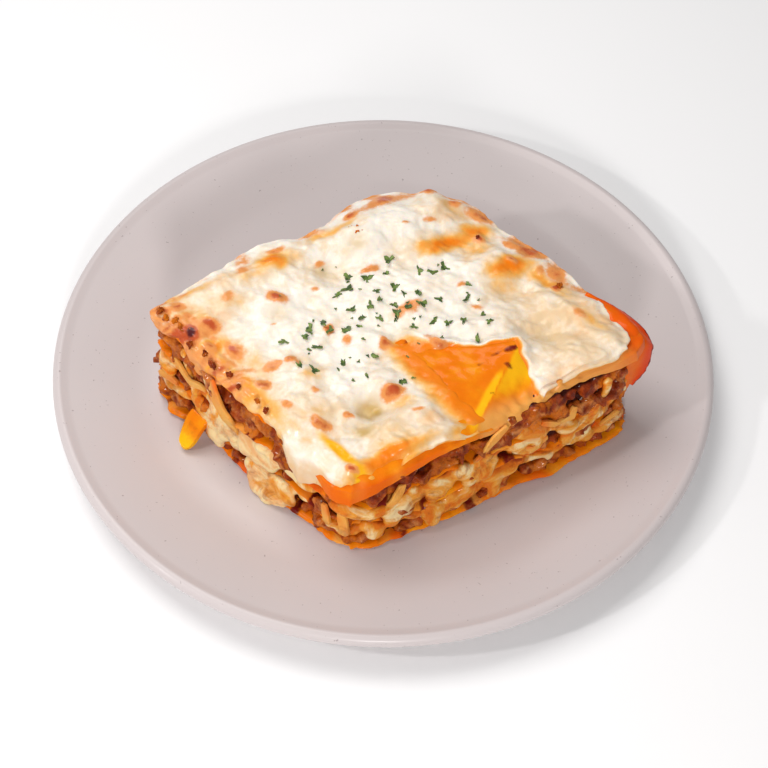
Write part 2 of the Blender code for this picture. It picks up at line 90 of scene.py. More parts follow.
foldShape = {
    "outline": ((0.425, 0.012), (0.415, 0.12), (0.430, 0.25), (0.437, 0.36), (0.450, 0.46), (0.500, 0.44),
                (0.555, 0.36), (0.640, 0.28), (0.730, 0.24), (0.705, 0.16), (0.675, 0.08), (0.650, 0.012)),
    "peak": Vector((0.705, 0.205)),
    "end": Vector((0.455, 0.03)),
    "height": 3.6 * mm,
    "reach": (0.20, 0.06),
    "drop": 3.0 * mm,
    "sunk": 0.7 * mm,
}

sideRight = sliceShape["right"] - sliceShape["front"]
sideLeft = sliceShape["left"] - sliceShape["front"]
sliceMiddle = sliceShape["front"] + (sideRight + sideLeft) / 2
sideWays = [Vector((way.y, -way.x)).normalized() for way in (sideRight, sideLeft, -sideRight, -sideLeft)]
foldLine = [Vector((a * sideRight.length, b * sideLeft.length)) / mm for a, b in foldShape["outline"]]


def smoothStep(low, high, value):
    share = min(max((value - low) / (high - low), 0.0), 1.0)
    return share * share * (3 - 2 * share)


def mix(first, second, share):
    return first + (second - first) * share


def bump(turn, middle, width):   # 1 at one place of the outline, falling to 0 over width
    away = abs((turn - middle + 2) % 4 - 2)
    return math.exp(-((away / width) ** 2))


def bumps(turn, places):   # several of them together, from a list of height, middle and width
    return sum(height * bump(turn, middle, width) for height, middle, width in places)


def waver(x, y=0.0, z=0.0):   # smooth noise between about -1 and 1
    return noise.noise(Vector((x, y, z)))


def plateTop(radius):
    curve = plateShape["rimStart"] - plateShape["well"]
    beyond = radius - plateShape["well"]
    if beyond <= 0:
        return plateShape["wellTop"]
    if beyond <= curve:
        return plateShape["wellTop"] + plateShape["rimSlope"] * beyond ** 2 / (2 * curve)
    return plateShape["wellTop"] + plateShape["rimSlope"] * (beyond - curve / 2)


def plan(a, b):
    return sliceShape["front"] + a * sideRight + b * sideLeft


def sidesOf(point):
    away = point - sliceShape["front"]
    area = sideRight.cross(sideLeft)
    return away.cross(sideLeft) / area, sideRight.cross(away) / area


def sliceHeight(a, b):
    front, right, back, left = sliceShape["heights"]
    return mix(mix(front, right, a), mix(left, back, a), b)


def outlineAt(turn):
    side = int(turn) % 4
    along = 2 * (turn - int(turn)) - 1
    p, q = ((along, -1), (1, along), (-along, 1), (-1, -along))[side]
    toCorner = (1 - abs(along)) * sideRight.length / 2
    pull = 1 - sliceShape["cornerPull"] * math.exp(-((toCorner / sliceShape["cornerReach"]) ** 2))
    bulge = sliceShape["bulge"][side] * mm * (1 - along ** 4)
    return (p * sideRight + q * sideLeft) * pull / 2 + sideWays[side] * bulge


def flareAt(turn):
    side = int(turn) % 4
    along = turn - int(turn)
    flare = sliceShape["flare"]
    comeIn = smoothStep(-0.25, 0.25, along)
    goOut = smoothStep(0.75, 1.25, along)
    dip, middle, width = sliceShape["flareDip"]
    stand = flare[side - 1] * (1 - comeIn) + flare[side] * (comeIn - goOut) + flare[(side + 1) % 4] * goOut
    return (stand - dip * bump(turn, middle, width)) * mm


def heightAt(point, share):
    a, b = sidesOf(point)
    inner = 1 - sliceShape["edgeInset"]
    beyondA = (abs(2 * a - 1) - inner) * sideRight.length / 2
    beyondB = (abs(2 * b - 1) - inner) * sideLeft.length / 2
    beyond = min(max(0.0, beyondA, beyondB), sliceShape["sagReach"])
    sag = sliceShape["sag"] * beyond * smoothStep(0.1, 1.0, share)
    length = sliceShape["waveLength"]
    wave = noise.noise(Vector((point.x / length, point.y / length, sliceShape["waveChange"] * share)))
    wave *= sliceShape["waveHeight"] * smoothStep(0.0, 0.35, share)
    return plateTop(point.length) + sliceShape["gap"] + share * sliceHeight(a, b) + wave - sag


def place(ring, turn, share, out=0.0, lift=0.0):
    offset = outlineAt(turn)
    spread = flareAt(turn) * (1 - share) * ring ** 4 + out
    point = sliceMiddle + offset * ring + offset.normalized() * spread
    return Vector((point.x, point.y, heightAt(point, share) + lift))


def sidePlace(ring, turn, share, out=0.0, lift=0.0):   # as place, with uneven layers near the side
    near = smoothStep(0.86, 1.0, ring)
    slow, quick = sliceShape["slump"]
    free = smoothStep(0.0, 0.22, share) * smoothStep(1.0, 0.72, share)
    slump = free * (slow * waver(turn * 4.3, share * 1.9, 3.0) + quick * waver(turn * 13.0, share * 2.6, 8.0))
    out += bumps(turn, sliceShape["layersOut"]) * mm * near
    return place(ring, turn, share + slump * near, out, lift)


def ringAndTurn(p, q):   # of a point of a square grid
    ring = max(abs(p), abs(q), 1e-9)
    p, q = p / ring, q / ring
    if q < -0.999999:
        return ring, (p + 1) / 2 % 4
    if p > 0.999999:
        return ring, 1 + (q + 1) / 2
    if q > 0.999999:
        return ring, 2 + (1 - p) / 2
    return ring, (3 + (1 - q) / 2) % 4


def standOut(point):   # turn of a point, and how far in mm it stands out past the slice's outline
    a, b = sidesOf(point.xy)
    ring, turn = ringAndTurn(2 * a - 1, 2 * b - 1)
    return turn, ((point.xy - sliceMiddle).length - outlineAt(turn).length) / mm


def awayFrom(atA, atB, reachA, reachB, a, b):   # squared distance from a mark, 1 where its reach ends
    x = (a - atA) * sideRight.length / (reachA * mm)
    y = (b - atB) * sideLeft.length / (reachB * mm)
    return x * x + y * y


def relief(a, b):
    total = 0.0
    for atA, atB, height, reachA, reachB in topRelief:
        away = awayFrom(atA, atB, reachA, reachB, a, b)
        if away < 9:
            total += height * math.exp(-away)
    return max(total * mm, sliceShape["lowestRelief"])


def acrossFold(a, b):   # where a point lies along and across the fold's ridge, across above 0 on its left
    ridge = foldShape["end"] - foldShape["peak"]
    away = Vector((a, b)) - foldShape["peak"]
    along = min(max(away.dot(ridge) / ridge.length_squared, 0.0), 1.0)
    return along, away.cross(ridge) / ridge.length


def foldRise(a, b):
    along, across = acrossFold(a, b)
    reach = foldShape["reach"][0 if across > 0 else 1]
    side = max(0.0, 1 - abs(across) / reach)
    drop = foldShape["drop"] * (1 - smoothStep(0.0, 0.22, b))
    return foldShape["height"] * side * (1 - 0.7 * along) - drop


def insideFold(a, b):   # mm from the fold's outline, positive inside it
    if not (0.28 < a < 0.88 and b < 0.62):
        return -30.0   # far away
    point = Vector((a * sideRight.length, b * sideLeft.length)) / mm
    (startA, startB), (endA, _) = foldShape["outline"][0], foldShape["outline"][-1]
    inside = b <= startB and startA < a < endA   # it stays open towards the side
    nearest = 1e9
    for first, second in zip(foldLine[:-1], foldLine[1:]):
        share = geometry.intersect_point_line(point, first, second)[1]
        onLine = first + (second - first) * min(max(share, 0.0), 1.0)
        nearest = min(nearest, (point - onLine).length)
    for first, second in zip(foldLine, foldLine[1:] + foldLine[:1]):
        if (first.y > point.y) != (second.y > point.y):
            if point.x < first.x + (second.x - first.x) * (point.y - first.y) / (second.y - first.y):
                inside = not inside
    return nearest if inside else -nearest


# Modelling helpers
def pick(*objects):   # selects these objects alone, with the first as the active one
    bpy.ops.object.select_all(action="DESELECT")
    for obj in objects:
        obj.select_set(True)
    bpy.context.view_layer.objects.active = objects[0]


def editEdges(obj):
    pick(obj)
    bpy.ops.object.mode_set(mode="EDIT")
    bpy.ops.mesh.select_mode(type="EDGE")


def closeMesh():   # ends editing with a last face over the open rim, and all faces turned outwards
    bpy.ops.mesh.edge_face_add()
    bpy.ops.mesh.select_all(action="SELECT")
    bpy.ops.mesh.normals_make_consistent(inside=False)
    bpy.ops.object.mode_set(mode="OBJECT")
    return bpy.context.active_object


def applyAll(obj):
    pick(obj)
    for modifier in list(obj.modifiers):
        bpy.ops.object.modifier_apply(modifier=modifier.name)
    return obj


def joinAll(objects, name):
    pick(*objects)
    bpy.ops.object.join()
    joined = bpy.context.active_object
    joined.name = name
    bpy.ops.object.transform_apply(location=True, rotation=True, scale=True)
    return joined


def paint(obj, name, colours):   # stores four numbers for each point of a piece, for its material
    layer = obj.data.color_attributes.new(name=name, type="FLOAT_COLOR", domain="POINT")
    for item, colour in zip(layer.data, colours):
        item.color = colour


def takeSpots(obj):   # the spots painted on a piece's flaps: across, down, and whether the point is on a flap
    layer = obj.data.color_attributes["spot"]
    spots = [(item.color[0], item.color[1], item.color[2] < 0.5) for item in layer.data]
    obj.data.color_attributes.remove(layer)
    return spots


def finish(obj, nodes, material, smooth=True):
    obj.data.materials.clear()
    obj.data.materials.append(material)
    if smooth:
        obj.data.shade_smooth()
    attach(obj, "root")
    if nodes:
        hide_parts(*nodes)
    print("made", obj.name, len(obj.data.polygons), "faces")
    return obj


def capGrid(name, cells, skirtCells):   # a flat square cap with a rim that will hang down, closed below
    span = 1 + 2 * skirtCells / cells
    total = cells + 2 * skirtCells
    bpy.ops.mesh.primitive_grid_add(x_subdivisions=total, y_subdivisions=total, size=2 * span)
    cap = bpy.context.active_object
    cap.name = name
    editEdges(cap)
    bpy.ops.mesh.select_all(action="DESELECT")
    bpy.ops.mesh.select_non_manifold()
    bpy.ops.mesh.extrude_edges_move(TRANSFORM_OT_translate={"value": (0, 0, -1)})
    bpy.ops.transform.resize(value=(0.8 / span, 0.8 / span, 1))
    return closeMesh(), span


def capPoints(cap, span):   # each point: is it below, its ring and turn, and how far down the rim it is
    for vert in cap.data.vertices:
        p, q, low = vert.co
        ring, turn = ringAndTurn(p, q)
        yield vert, low < -0.5, min(ring, 1.0), turn, max(0.0, (ring - 1) / (span - 1))


def hang(top, turn, fall, out):   # a point of the rim, fall below its edge
    side = place(1.0, turn, 1 - fall / sliceShape["usualHeight"], out)
    side.z = top.z - fall
    return side


def ringStack(name, around, levels):   # a circle drawn through radii and heights, closed at both ends
    radius, height = levels[0]
    bpy.ops.mesh.primitive_circle_add(vertices=around, radius=radius, location=(0, 0, 0), fill_type="NOTHING")
    stack = bpy.context.active_object
    stack.name = name
    editEdges(stack)
    bpy.ops.mesh.select_all(action="SELECT")
    bpy.ops.transform.translate(value=(0, 0, height))
    bpy.ops.mesh.edge_face_add()
    for nextRadius, nextHeight in levels[1:]:
        bpy.ops.mesh.extrude_edges_move(TRANSFORM_OT_translate={"value": (0, 0, nextHeight - height)})
        ratio = nextRadius / radius
        bpy.ops.transform.resize(value=(ratio, ratio, 1), center_override=(0, 0, nextHeight))
        radius, height = nextRadius, nextHeight
    return closeMesh()


def stackPoint(vert):   # level, ring and turn of a point of a stack with radius 1 and height 1
    turn = (math.atan2(vert.co.y, vert.co.x) / (math.pi / 2)) % 4
    return vert.co.z, min(math.hypot(vert.co.x, vert.co.y), 1.0), turn


# A thin sheet: pointAt gives its points from across, -1 to 1, and down, 0 to 1. Both stay painted as "spot".
def makeFlap(name, columns, rows, pointAt, thickness):
    bpy.ops.mesh.primitive_grid_add(x_subdivisions=columns, y_subdivisions=rows, size=2)
    flap = bpy.context.active_object
    flap.name = name
    spots = [(vert.co.x, (1 - vert.co.y) / 2) for vert in flap.data.vertices]
    paint(flap, "spot", [(0.5 + across / 2, down, 0.0, 1.0) for across, down in spots])
    for vert, spot in zip(flap.data.vertices, spots):
        vert.co = pointAt(*spot)
    thicken = flap.modifiers.new("thickness", "SOLIDIFY")
    thicken.thickness = thickness
    thicken.offset = 0.0
    rounded = flap.modifiers.new("soft rim", "BEVEL")
    rounded.width = thickness * 0.3
    rounded.segments = 2
    rounded.limit_method = "ANGLE"
    rounded.angle_limit = math.radians(50)
    return applyAll(flap)


def remesh(obj, voxel, smoothing):
    modifier = obj.modifiers.new("blend together", "REMESH")
    modifier.mode = "VOXEL"
    modifier.voxel_size = voxel
    soften = obj.modifiers.new("soften", "SMOOTH")
    soften.factor = 0.5
    soften.iterations = smoothing
    return applyAll(obj)


# Material helpers
def newMaterial(name, **values):
    made = bpy.data.materials.new(name)
    made.use_nodes = True
    shader = made.node_tree.nodes["Principled BSDF"]
    for socket, value in values.items():
        shader.inputs[socket.replace("_", " ")].default_value = value
    return made, made.node_tree, shader


def addNode(tree, kind, inputs=None, **settings):
    made = tree.nodes.new(kind)
    for setting, value in settings.items():
        setattr(made, setting, value)
    for socket, value in (inputs or {}).items():
        if isinstance(value, bpy.types.NodeSocket):
            tree.links.new(value, made.inputs[socket])
        else:
            made.inputs[socket].default_value = value
    return made


def objectPoint(tree):
    return addNode(tree, "ShaderNodeTexCoord").outputs["Object"]


def noiseNode(tree, scale, detail=3.0, roughness=0.5, distortion=0.0):
    inputs = {"Vector": objectPoint(tree), "Scale": scale, "Detail": detail, "Roughness": roughness,
              "Distortion": distortion}
    return addNode(tree, "ShaderNodeTexNoise", inputs).outputs["Fac"]


def ramp(tree, factor, low, high, top=1.0):   # factor between low and high, spread from 0 to top
    inputs = {"Value": factor, "From Min": low, "From Max": high, "To Max": top}
    return addNode(tree, "ShaderNodeMapRange", inputs, interpolation_type="SMOOTHSTEP").outputs["Result"]


def blend(tree, factor, first, second):
    inputs = {0: factor, 6: first, 7: second}
    return addNode(tree, "ShaderNodeMix", inputs, data_type="RGBA").outputs[2]


def mathNode(tree, operation, first, second):
    return addNode(tree, "ShaderNodeMath", {0: first, 1: second}, operation=operation).outputs[0]


def times(tree, first, second):
    return mathNode(tree, "MULTIPLY", first, second)


def plus(tree, first, second):
    return mathNode(tree, "ADD", first, second)


def aroundZero(tree, middle, *noiseValues):   # noise less its middle
    return mathNode(tree, "SUBTRACT", noiseNode(tree, *noiseValues), middle)


def frayed(tree, mark, amount, solid, *noiseValues):   # a painted mark, its border broken up by noise
    uneven = times(tree, aroundZero(tree, 0.5, *noiseValues), amount)
    return plus(tree, mark, times(tree, uneven, ramp(tree, mark, 0.0, solid)))


def shades(tree, factor, body, *steps):   # colours laid on one by one, each from a low to a high factor
    for low, high, colour in steps:
        body = blend(tree, ramp(tree, factor, low, high), body, colour)
    return body


def painted(tree, name):   # the four numbers painted on a piece
    source = addNode(tree, "ShaderNodeAttribute", attribute_name=name)
    parts = addNode(tree, "ShaderNodeSeparateColor", {"Color": source.outputs["Color"]})
    return parts.outputs["Red"], parts.outputs["Green"], parts.outputs["Blue"], source.outputs["Alpha"]


runOver = {"oil": (0.72, 0.20, 0.008, 1), "sauce": (0.27, 0.040, 0.006, 1)}   # all the layers of the side


def oiled(tree, body, strength):
    runs = ramp(tree, noiseNode(tree, 62.0, 5.0, 0.62, 1.2), 0.49, 0.62, strength)
    stains = ramp(tree, noiseNode(tree, 105.0, 5.0, 0.62, 0.9), 0.53, 0.66, strength)
    return blend(tree, stains, blend(tree, runs, body, runOver["oil"]), runOver["sauce"])


def setBump(tree, shader, height, distance, strength=1.0):
    inputs = {"Height": height, "Distance": distance, "Strength": strength}
    tree.links.new(addNode(tree, "ShaderNodeBump", inputs).outputs["Normal"], shader.inputs["Normal"])


def setColour(tree, shader, colour):
    tree.links.new(colour, shader.inputs["Base Color"])


def setRoughness(tree, shader, factor, low, high):
    inputs = {"Value": factor, "From Min": 0.3, "From Max": 0.7, "To Min": low, "To Max": high}
    tree.links.new(addNode(tree, "ShaderNodeMapRange", inputs).outputs["Result"], shader.inputs["Roughness"])


# Camera, floor and light
cameraView = {
    "lens": 75.0,
    "elevation": math.radians(53.1),
    "roll": math.radians(1.046),
    "distance": 547.312 * mm,
    "target": Vector((0.28, -17.216, 17.0)) * mm,
}


def makeCamera():
    elevation, roll = cameraView["elevation"], cameraView["roll"]
    back = Vector((0, -math.cos(elevation), math.sin(elevation)))
    level = Vector((1, 0, 0))
    upright = back.cross(level)
    right = level * math.cos(roll) + upright * math.sin(roll)
    up = upright * math.cos(roll) - level * math.sin(roll)
    bpy.ops.object.camera_add()
    camera = bpy.context.active_object
    turn = Matrix((right, up, back)).transposed().to_4x4()
    camera.matrix_world = Matrix.Translation(cameraView["target"] + back * cameraView["distance"]) @ turn
    camera.data.lens = cameraView["lens"]
    camera.data.sensor_width = 36.0
    camera.data.clip_start = 0.01
    bpy.context.scene.camera = camera


lights = {
    "world": 0.31,
    "floor": ((0.93, 0.93, 0.94, 1), (0.96, 0.96, 0.97, 1)),
    "aim": Vector((0, -0.02, 0.02)),
    "key": {"power": 4.15, "size": 0.50, "place": (-0.26, 0.24, 0.78), "colour": (1.0, 0.98, 0.96)},
    "front": {"power": 2.65, "size": 0.12, "place": (0.00, -0.72, 0.38), "colour": (1.0, 0.98, 0.96)},
    "sparkle": {"power": 0.75, "size": 0.035, "place": (-0.44, -0.22, 0.40), "colour": (1.0, 0.98, 0.97)},
}


def makeLight(name):
    values = lights[name]
    bpy.ops.object.light_add(type="AREA", location=values["place"])
    lamp = bpy.context.active_object
    lamp.name = name
    lamp.data.energy = values["power"]
    lamp.data.size = values["size"]
    lamp.data.color = values["colour"]
    away = Vector(values["place"]) - lights["aim"]
    lamp.rotation_euler = away.to_track_quat("Z", "Y").to_euler()


def makeStage():
    world = bpy.data.worlds.new("studio")
    world.use_nodes = True
    world.node_tree.nodes["Background"].inputs["Color"].default_value = (1.0, 1.0, 1.0, 1)
    world.node_tree.nodes["Background"].inputs["Strength"].default_value = lights["world"]
    bpy.context.scene.world = world
    for name in ("key", "front", "sparkle"):
        makeLight(name)
    bpy.ops.mesh.primitive_plane_add(size=6)
    floor = bpy.context.active_object
    floor.name = "floor"
    made, tree, shader = newMaterial("paleFloor", Roughness=0.9)
    setColour(tree, shader, blend(tree, noiseNode(tree, 6.0), *lights["floor"]))
    floor.data.materials.append(made)
    bpy.context.scene.view_settings.view_transform = "Standard"


makeCamera()
makeStage()
print("camera, light and floor set")

# The plate: a profile drawn round its middle
glaze = {
    "colour": (0.605, 0.542, 0.540, 1),
    "shade": (0.580, 0.518, 0.516, 1),
    "speck": (0.40, 0.34, 0.34, 1),
    "roughness": (0.34, 0.42),
}


def glazeMaterial():
    made, tree, shader = newMaterial("stonewareGlaze", Coat_Weight=0.12, Coat_Roughness=0.12,
                                     Specular_IOR_Level=0.3)
    cloud = blend(tree, ramp(tree, noiseNode(tree, 14.0, 2.0), 0.3, 0.7), glaze["colour"], glaze["shade"])
    speck = ramp(tree, noiseNode(tree, 900.0, 1.0), 0.745, 0.78)
    setColour(tree, shader, blend(tree, speck, cloud, glaze["speck"]))
    setRoughness(tree, shader, noiseNode(tree, 40.0, 3.0), *glaze["roughness"])
    setBump(tree, shader, noiseNode(tree, 60.0, 2.0), 0.00008, 0.5)
    return made


def platePath():   # radius and height, from the middle of the underside round the lip to the top's middle
    shape = plateShape
    under = shape["wellTop"] - shape["thickness"]
    foot, width = shape["foot"], shape["footWidth"]
    path = [(2 * mm, under), (foot - width - 3 * mm, under), (foot - width - 1 * mm, 0.6 * under),
            (foot - width + 0.2 * mm, 0.15 * mm), (foot - width + 1 * mm, 0.0), (foot - 1 * mm, 0.0),
            (foot - 0.1 * mm, 0.2 * mm), (foot + 1.2 * mm, 0.6 * under), (foot + 3.5 * mm, 0.92 * under),
            (foot + 7 * mm, under), (shape["well"], under + 0.1 * mm)]
    for step in range(1, 9):
        radius = mix(shape["well"], shape["lipBelow"], step / 8)
        path.append((radius, plateTop(radius) - shape["thickness"]))
    lipAt = shape["radius"] - shape["lip"]
    lipTop = plateTop(lipAt) - shape["lipDrop"]
    for degrees in range(-62, 125, 11):
        angle = math.radians(degrees)
        path.append((lipAt + shape["lip"] * math.cos(angle), lipTop + shape["lip"] * math.sin(angle)))
    for step in range(30):
        radius = mix(shape["lipAbove"], 70 * mm, step / 29)
        path.append((radius, plateTop(radius)))
    return path + [(40 * mm, shape["wellTop"]), (2 * mm, shape["wellTop"])]


def makePlate():
    plate = ringStack("plateBody", 192, platePath())
    return finish(plate, ["plate"], glazeMaterial())


makePlate()

# The melted top
cheeseTop = {
    "cells": 216,
    "skirtCells": 20,
    "thickness": 2.6,        # mm
    "level": 56.3,           # mm above which the mounds are flattened
    "white": (0.92, 0.85, 0.75, 1),
    # creamy beige: the cheese's toasted tone, partly painted shade
    "cream": (0.80, 0.60, 0.38, 1),
    "peach": (0.84, 0.50, 0.24, 1),
    "clear": (0.86, 0.44, 0.09, 1),      # where it lies so thin that the sheet shows through
    "orange": (0.86, 0.215, 0.004, 1),
    "yellow": (0.95, 0.46, 0.008, 1),
    "gold": (0.78, 0.31, 0.09, 1),
    "rust": (0.50, 0.085, 0.022, 1),
    "burnt": (0.085, 0.012, 0.014, 1),
    # darker yellow-brown for the top's dips: pooled melted cheese and painted shade
    "hollow": (0.56, 0.36, 0.10, 1),
    # Where it hangs down and stands out past the side: mm, turn, width
    "drop": ((12.0, 3.775, 0.085), (8.0, 3.90, 0.06), (3.0, 3.60, 0.05), (3.5, 2.1, 0.3), (3.0, 1.45, 0.12),
             (3.0, 2.72, 0.10)),
    "out": ((4.2, 1.50, 0.24), (4.6, 1.95, 0.15), (9.4, 2.22, 0.14), (4.4, 2.62, 0.13), (4.8, 3.01, 0.06),
            (-1.3, 0.12, 0.20), (-4.6, 0.79, 0.15), (2.2, 3.76, 0.07), (1.4, 3.95, 0.07)),
}
# Browned blisters: a, b, reach in mm along a and b, strength, height in mm
blisters = (
    (0.33, 0.27, 3.0, 3.2, 1.0, 1.4), (0.44, 0.47, 2.6, 2.6, 0.8, 0.9), (0.555, 0.365, 2.0, 4.6, 0.68, 0.9),
    (0.35, 0.62, 2.2, 1.9, 0.76, 0.7), (0.365, 0.55, 2.0, 2.0, 0.52, 0.5),
    (0.585, 0.56, 4.8, 2.4, 0.68, 0.8), (0.6, 0.79, 4.2, 1.7, 0.62, 0.7), (0.31, 0.82, 2.6, 3.4, 0.84, 1.1),
    (0.75, 0.45, 1.8, 1.5, 0.46, 0.5), (0.17, 0.26, 2.0, 2.0, 0.64, 0.8), (0.09, 0.27, 1.8, 3.6, 0.7, 0.6),
    (0.16, 0.4, 1.5, 1.7, 0.5, 0.4), (0.18, 0.56, 2.2, 1.8, 0.72, 0.6), (0.13, 0.57, 3.0, 1.8, 0.58, 0.5),
    (0.19, 0.9, 2.6, 1.8, 0.46, 0.5), (0.51, 0.9, 2.2, 1.5, 0.5, 0.4), (0.97, 0.57, 1.6, 1.6, 0.72, 0.8),
    (0.97, 0.73, 2.0, 1.8, 0.82, 0.9), (1.0, 0.4, 1.8, 1.6, 0.95, 0.9), (0.97, 0.25, 1.7, 2.4, 0.55, 0.6),
    (0.81, 0.89, 1.8, 1.5, 0.4, 0.4), (0.89, 0.88, 1.7, 1.7, 0.45, 0.4), (0.78, 0.56, 1.5, 1.3, 0.46, 0.3),
    (0.05, 0.95, 2.2, 2.2, 0.72, 0.6), (0.08, 0.7, 2.6, 3.0, 0.84, 0.7), (0.06, 0.52, 1.8, 2.4, 0.72, 0.6),
    (0.33, 0.15, 1.8, 1.4, 0.46, 0.4), (0.02, 0.84, 3.2, 3.8, 1.3, 1.0), (0.08, 0.82, 2.8, 2.6, 0.9, 0.6),
    (0.43, 1.02, 3.0, 1.6, 0.66, 0.4), (0.05, 0.06, 1.6, 1.6, 0.85, 0.3), (0.72, 1.04, 3.2, 1.8, 0.78, 0.5),
    (0.84, 1.05, 3.0, 2.0, 0.72, 0.8), (0.99, 1.03, 3.0, 3.0, 0.72, 2.0), (1.02, 0.92, 2.4, 2.4, 0.66, 1.2),
    (1.03, 0.66, 2.0, 3.0, 0.6, 0.8), (1.02, 0.5, 1.6, 2.4, 0.52, 0.6), (0.3, 0.99, 3.0, 2.0, 0.5, 0.4),
    (0.1, 1.0, 2.0, 2.0, 0.62, 0.5), (0.42, 0.8, 1.6, 1.2, 0.35, 0.3), (0.24, 0.72, 1.2, 1.2, 0.36, 0.3),
    (0.06, 0.4, 1.4, 2.6, 0.55, 0.4),
)
# Wide patches where the cheese is toasted to a creamy or peachy tone, the large creamy one over the right
# part partly painted shade: as above, without a height
creamPlaces = (
    (0.9, 0.22, 18, 26, 1.0), (0.95, 0.42, 10, 12, 0.7), (0.12, 0.3, 12, 16, 0.65),
    (0.26, 0.12, 22, 8, 0.75), (0.32, 0.96, 24, 7, 0.75), (0.12, 0.92, 12, 9, 0.7),
    (0.55, 0.97, 14, 4, 0.45), (0.78, 0.8, 14, 5, 0.55), (0.92, 0.93, 9, 8, 0.6), (0.2, 0.55, 6, 7, 0.55),
    (0.47, 0.86, 9, 6, 0.45), (0.56, 0.56, 7, 4, 0.45), (0.36, 0.36, 7, 6, 0.45), (0.62, 0.8, 8, 4, 0.35),
    (0.35, 0.62, 6, 5, 0.35), (0.06, 0.55, 8, 14, 0.6),
)
peachPlaces = (
    (0.06, 0.86, 12, 13, 0.95), (0.93, 0.24, 11, 16, 0.5), (0.05, 0.64, 8, 12, 0.85),
    (0.24, 0.985, 20, 4, 0.7), (0.92, 0.64, 9, 8, 0.55), (1.0, 0.25, 5, 22, 0.75), (0.8, 0.045, 20, 4, 0.6),
    (0.12, 0.1, 8, 6, 0.6), (0.98, 0.9, 7, 9, 0.75), (0.07, 0.3, 5, 14, 0.5), (0.64, 0.985, 16, 3, 0.5),
    (0.33, 0.1, 10, 4, 0.5), (0.55, 0.39, 7, 3, 0.5),
)
# Where the pasta's orange shows through the cheese: a, b, reach in mm along a and b, strength
thinPlaces = (
    (0.4, 0.975, 7, 4, 1.0), (0.3, 0.95, 7, 3, 0.55), (0.86, 0.765, 11, 3.8, 1.0), (0.98, 0.77, 7, 5, 0.85),
    (0.95, 0.56, 9, 5, 1.0), (0.88, 0.5, 6, 5, 0.5), (0.15, 0.04, 17, 3.6, 1.0), (0.02, 0.6, 4, 30, 0.8),
    (0.02, 0.3, 3, 20, 0.4), (0.1, 0.62, 6, 12, 0.4), (0.2, 0.47, 6, 4, 0.45), (0.2, 0.06, 11, 5, 0.55),
    (0.8, 0.01, 20, 1.8, 0.5), (0.38, 0.02, 8, 2, 0.6), (0.99, 0.9, 4, 10, 0.5), (0.98, 0.2, 3, 12, 0.55),
    (0.1, 0.995, 12, 3, 0.65), (0.19, 0.88, 6, 5, 0.45), (0.05, 0.85, 8, 12, 0.6),
    (0.62, 1.01, 14, 2.6, 0.6), (0.93, 0.7, 8, 6, 0.5), (1.0, 0.45, 4, 14, 0.7), (0.07, 0.72, 5, 9, 0.6),
    (0.33, 0.21, 5, 4, 0.5), (0.12, 0.32, 5, 5, 0.4), (0.04, 0.75, 3, 5, 0.9), (0.7, 0.6, 7, 3, 0.2),
    (0.4, 0.42, 5, 4, 0.25),
)
# Dips of the top painted a darker yellow-brown, pooled melted cheese and painted shade: a, b, reach in mm
# along a and b, strength
hollows = (
    (0.25, 0.255, 4.8, 4.2, 1.0), (0.17, 0.18, 3.4, 3.6, 0.9), (0.5, 0.87, 3.6, 4.4, 0.6),
    (0.64, 0.9, 4.2, 3.2, 0.55), (0.27, 0.76, 3.4, 3.2, 0.4), (0.52, 0.47, 4.4, 2.6, 0.4),
    (0.84, 0.24, 6.0, 5.0, 0.3), (0.38, 0.7, 3.0, 2.4, 0.25), (0.7, 0.74, 3.6, 4.0, 0.3),
)
yellowPlaces = (
    (0.065, 0.14, 2.2, 10, 1.0), (0.06, 0.04, 2.6, 4, 0.8), (0.22, 0.12, 6, 3, 0.35),
)


def gather(places, a, b, fade=1.0):   # the strongest of a list of soft round marks
    found = 0.0
    for atA, atB, reachA, reachB, strength, *_ in places:
        away = awayFrom(atA, atB, reachA, reachB, a, b)
        if away < 6:
            found = max(found, strength * math.exp(-away * fade))
    return found


def blisterRise(a, b):
    total = 0.0
    for atA, atB, reachA, reachB, _, height in blisters:
        away = awayFrom(atA, atB, reachA, reachB, a, b)
        if away < 6:
            total += height * math.exp(-away)
    return total * mm


def topHeight(a, b):
    return heightAt(plan(a, b), 1.0) + relief(a, b)


def leftOfFold(a, b):
    return smoothStep(0.58, 0.47, a) * smoothStep(0.52, 0.42, b)


def cheeseThickness(a, b, inside):   # mm, below 0 where the pasta is bare
    thick = cheeseTop["thickness"] + 0.7 * waver(a * 7, b * 6, 3.1)
    leftEdge = leftOfFold(a, b)
    thick *= 1 - smoothStep(mix(-2.0, -12.0, leftEdge), mix(0.2, 6.5, leftEdge), inside)
    thick -= 2.4 * smoothStep(mix(-0.2, 4.5, leftEdge), mix(2.4, 8.0, leftEdge), inside)
    strip = 0.03 + 0.03 * waver(a * 14, 0.3) - 0.12 * smoothStep(0.16, 0.32, a)
    strip -= 0.05 * smoothStep(0.06, 0.0, a)
    if a < 0.45:
        thick = min(thick, mix(-1.2, thick, smoothStep(strip - 0.045, strip + 0.035, b)))
    return thick


def sheetHeight(a, b, inside):   # upper face of the top pasta sheet
    under = -cheeseTop["thickness"] * mm
    rise = foldRise(a, b) - foldShape["sunk"]
    strip = smoothStep(0.11, 0.05, b) * smoothStep(0.47, 0.43, a)
    low = mix(under, -0.9 * mm, strip)
    soft = leftOfFold(a, b)
    return topHeight(a, b) + mix(low, rise, smoothStep(mix(-4.5, -9.0, soft), mix(0.5, 5.0, soft), inside))


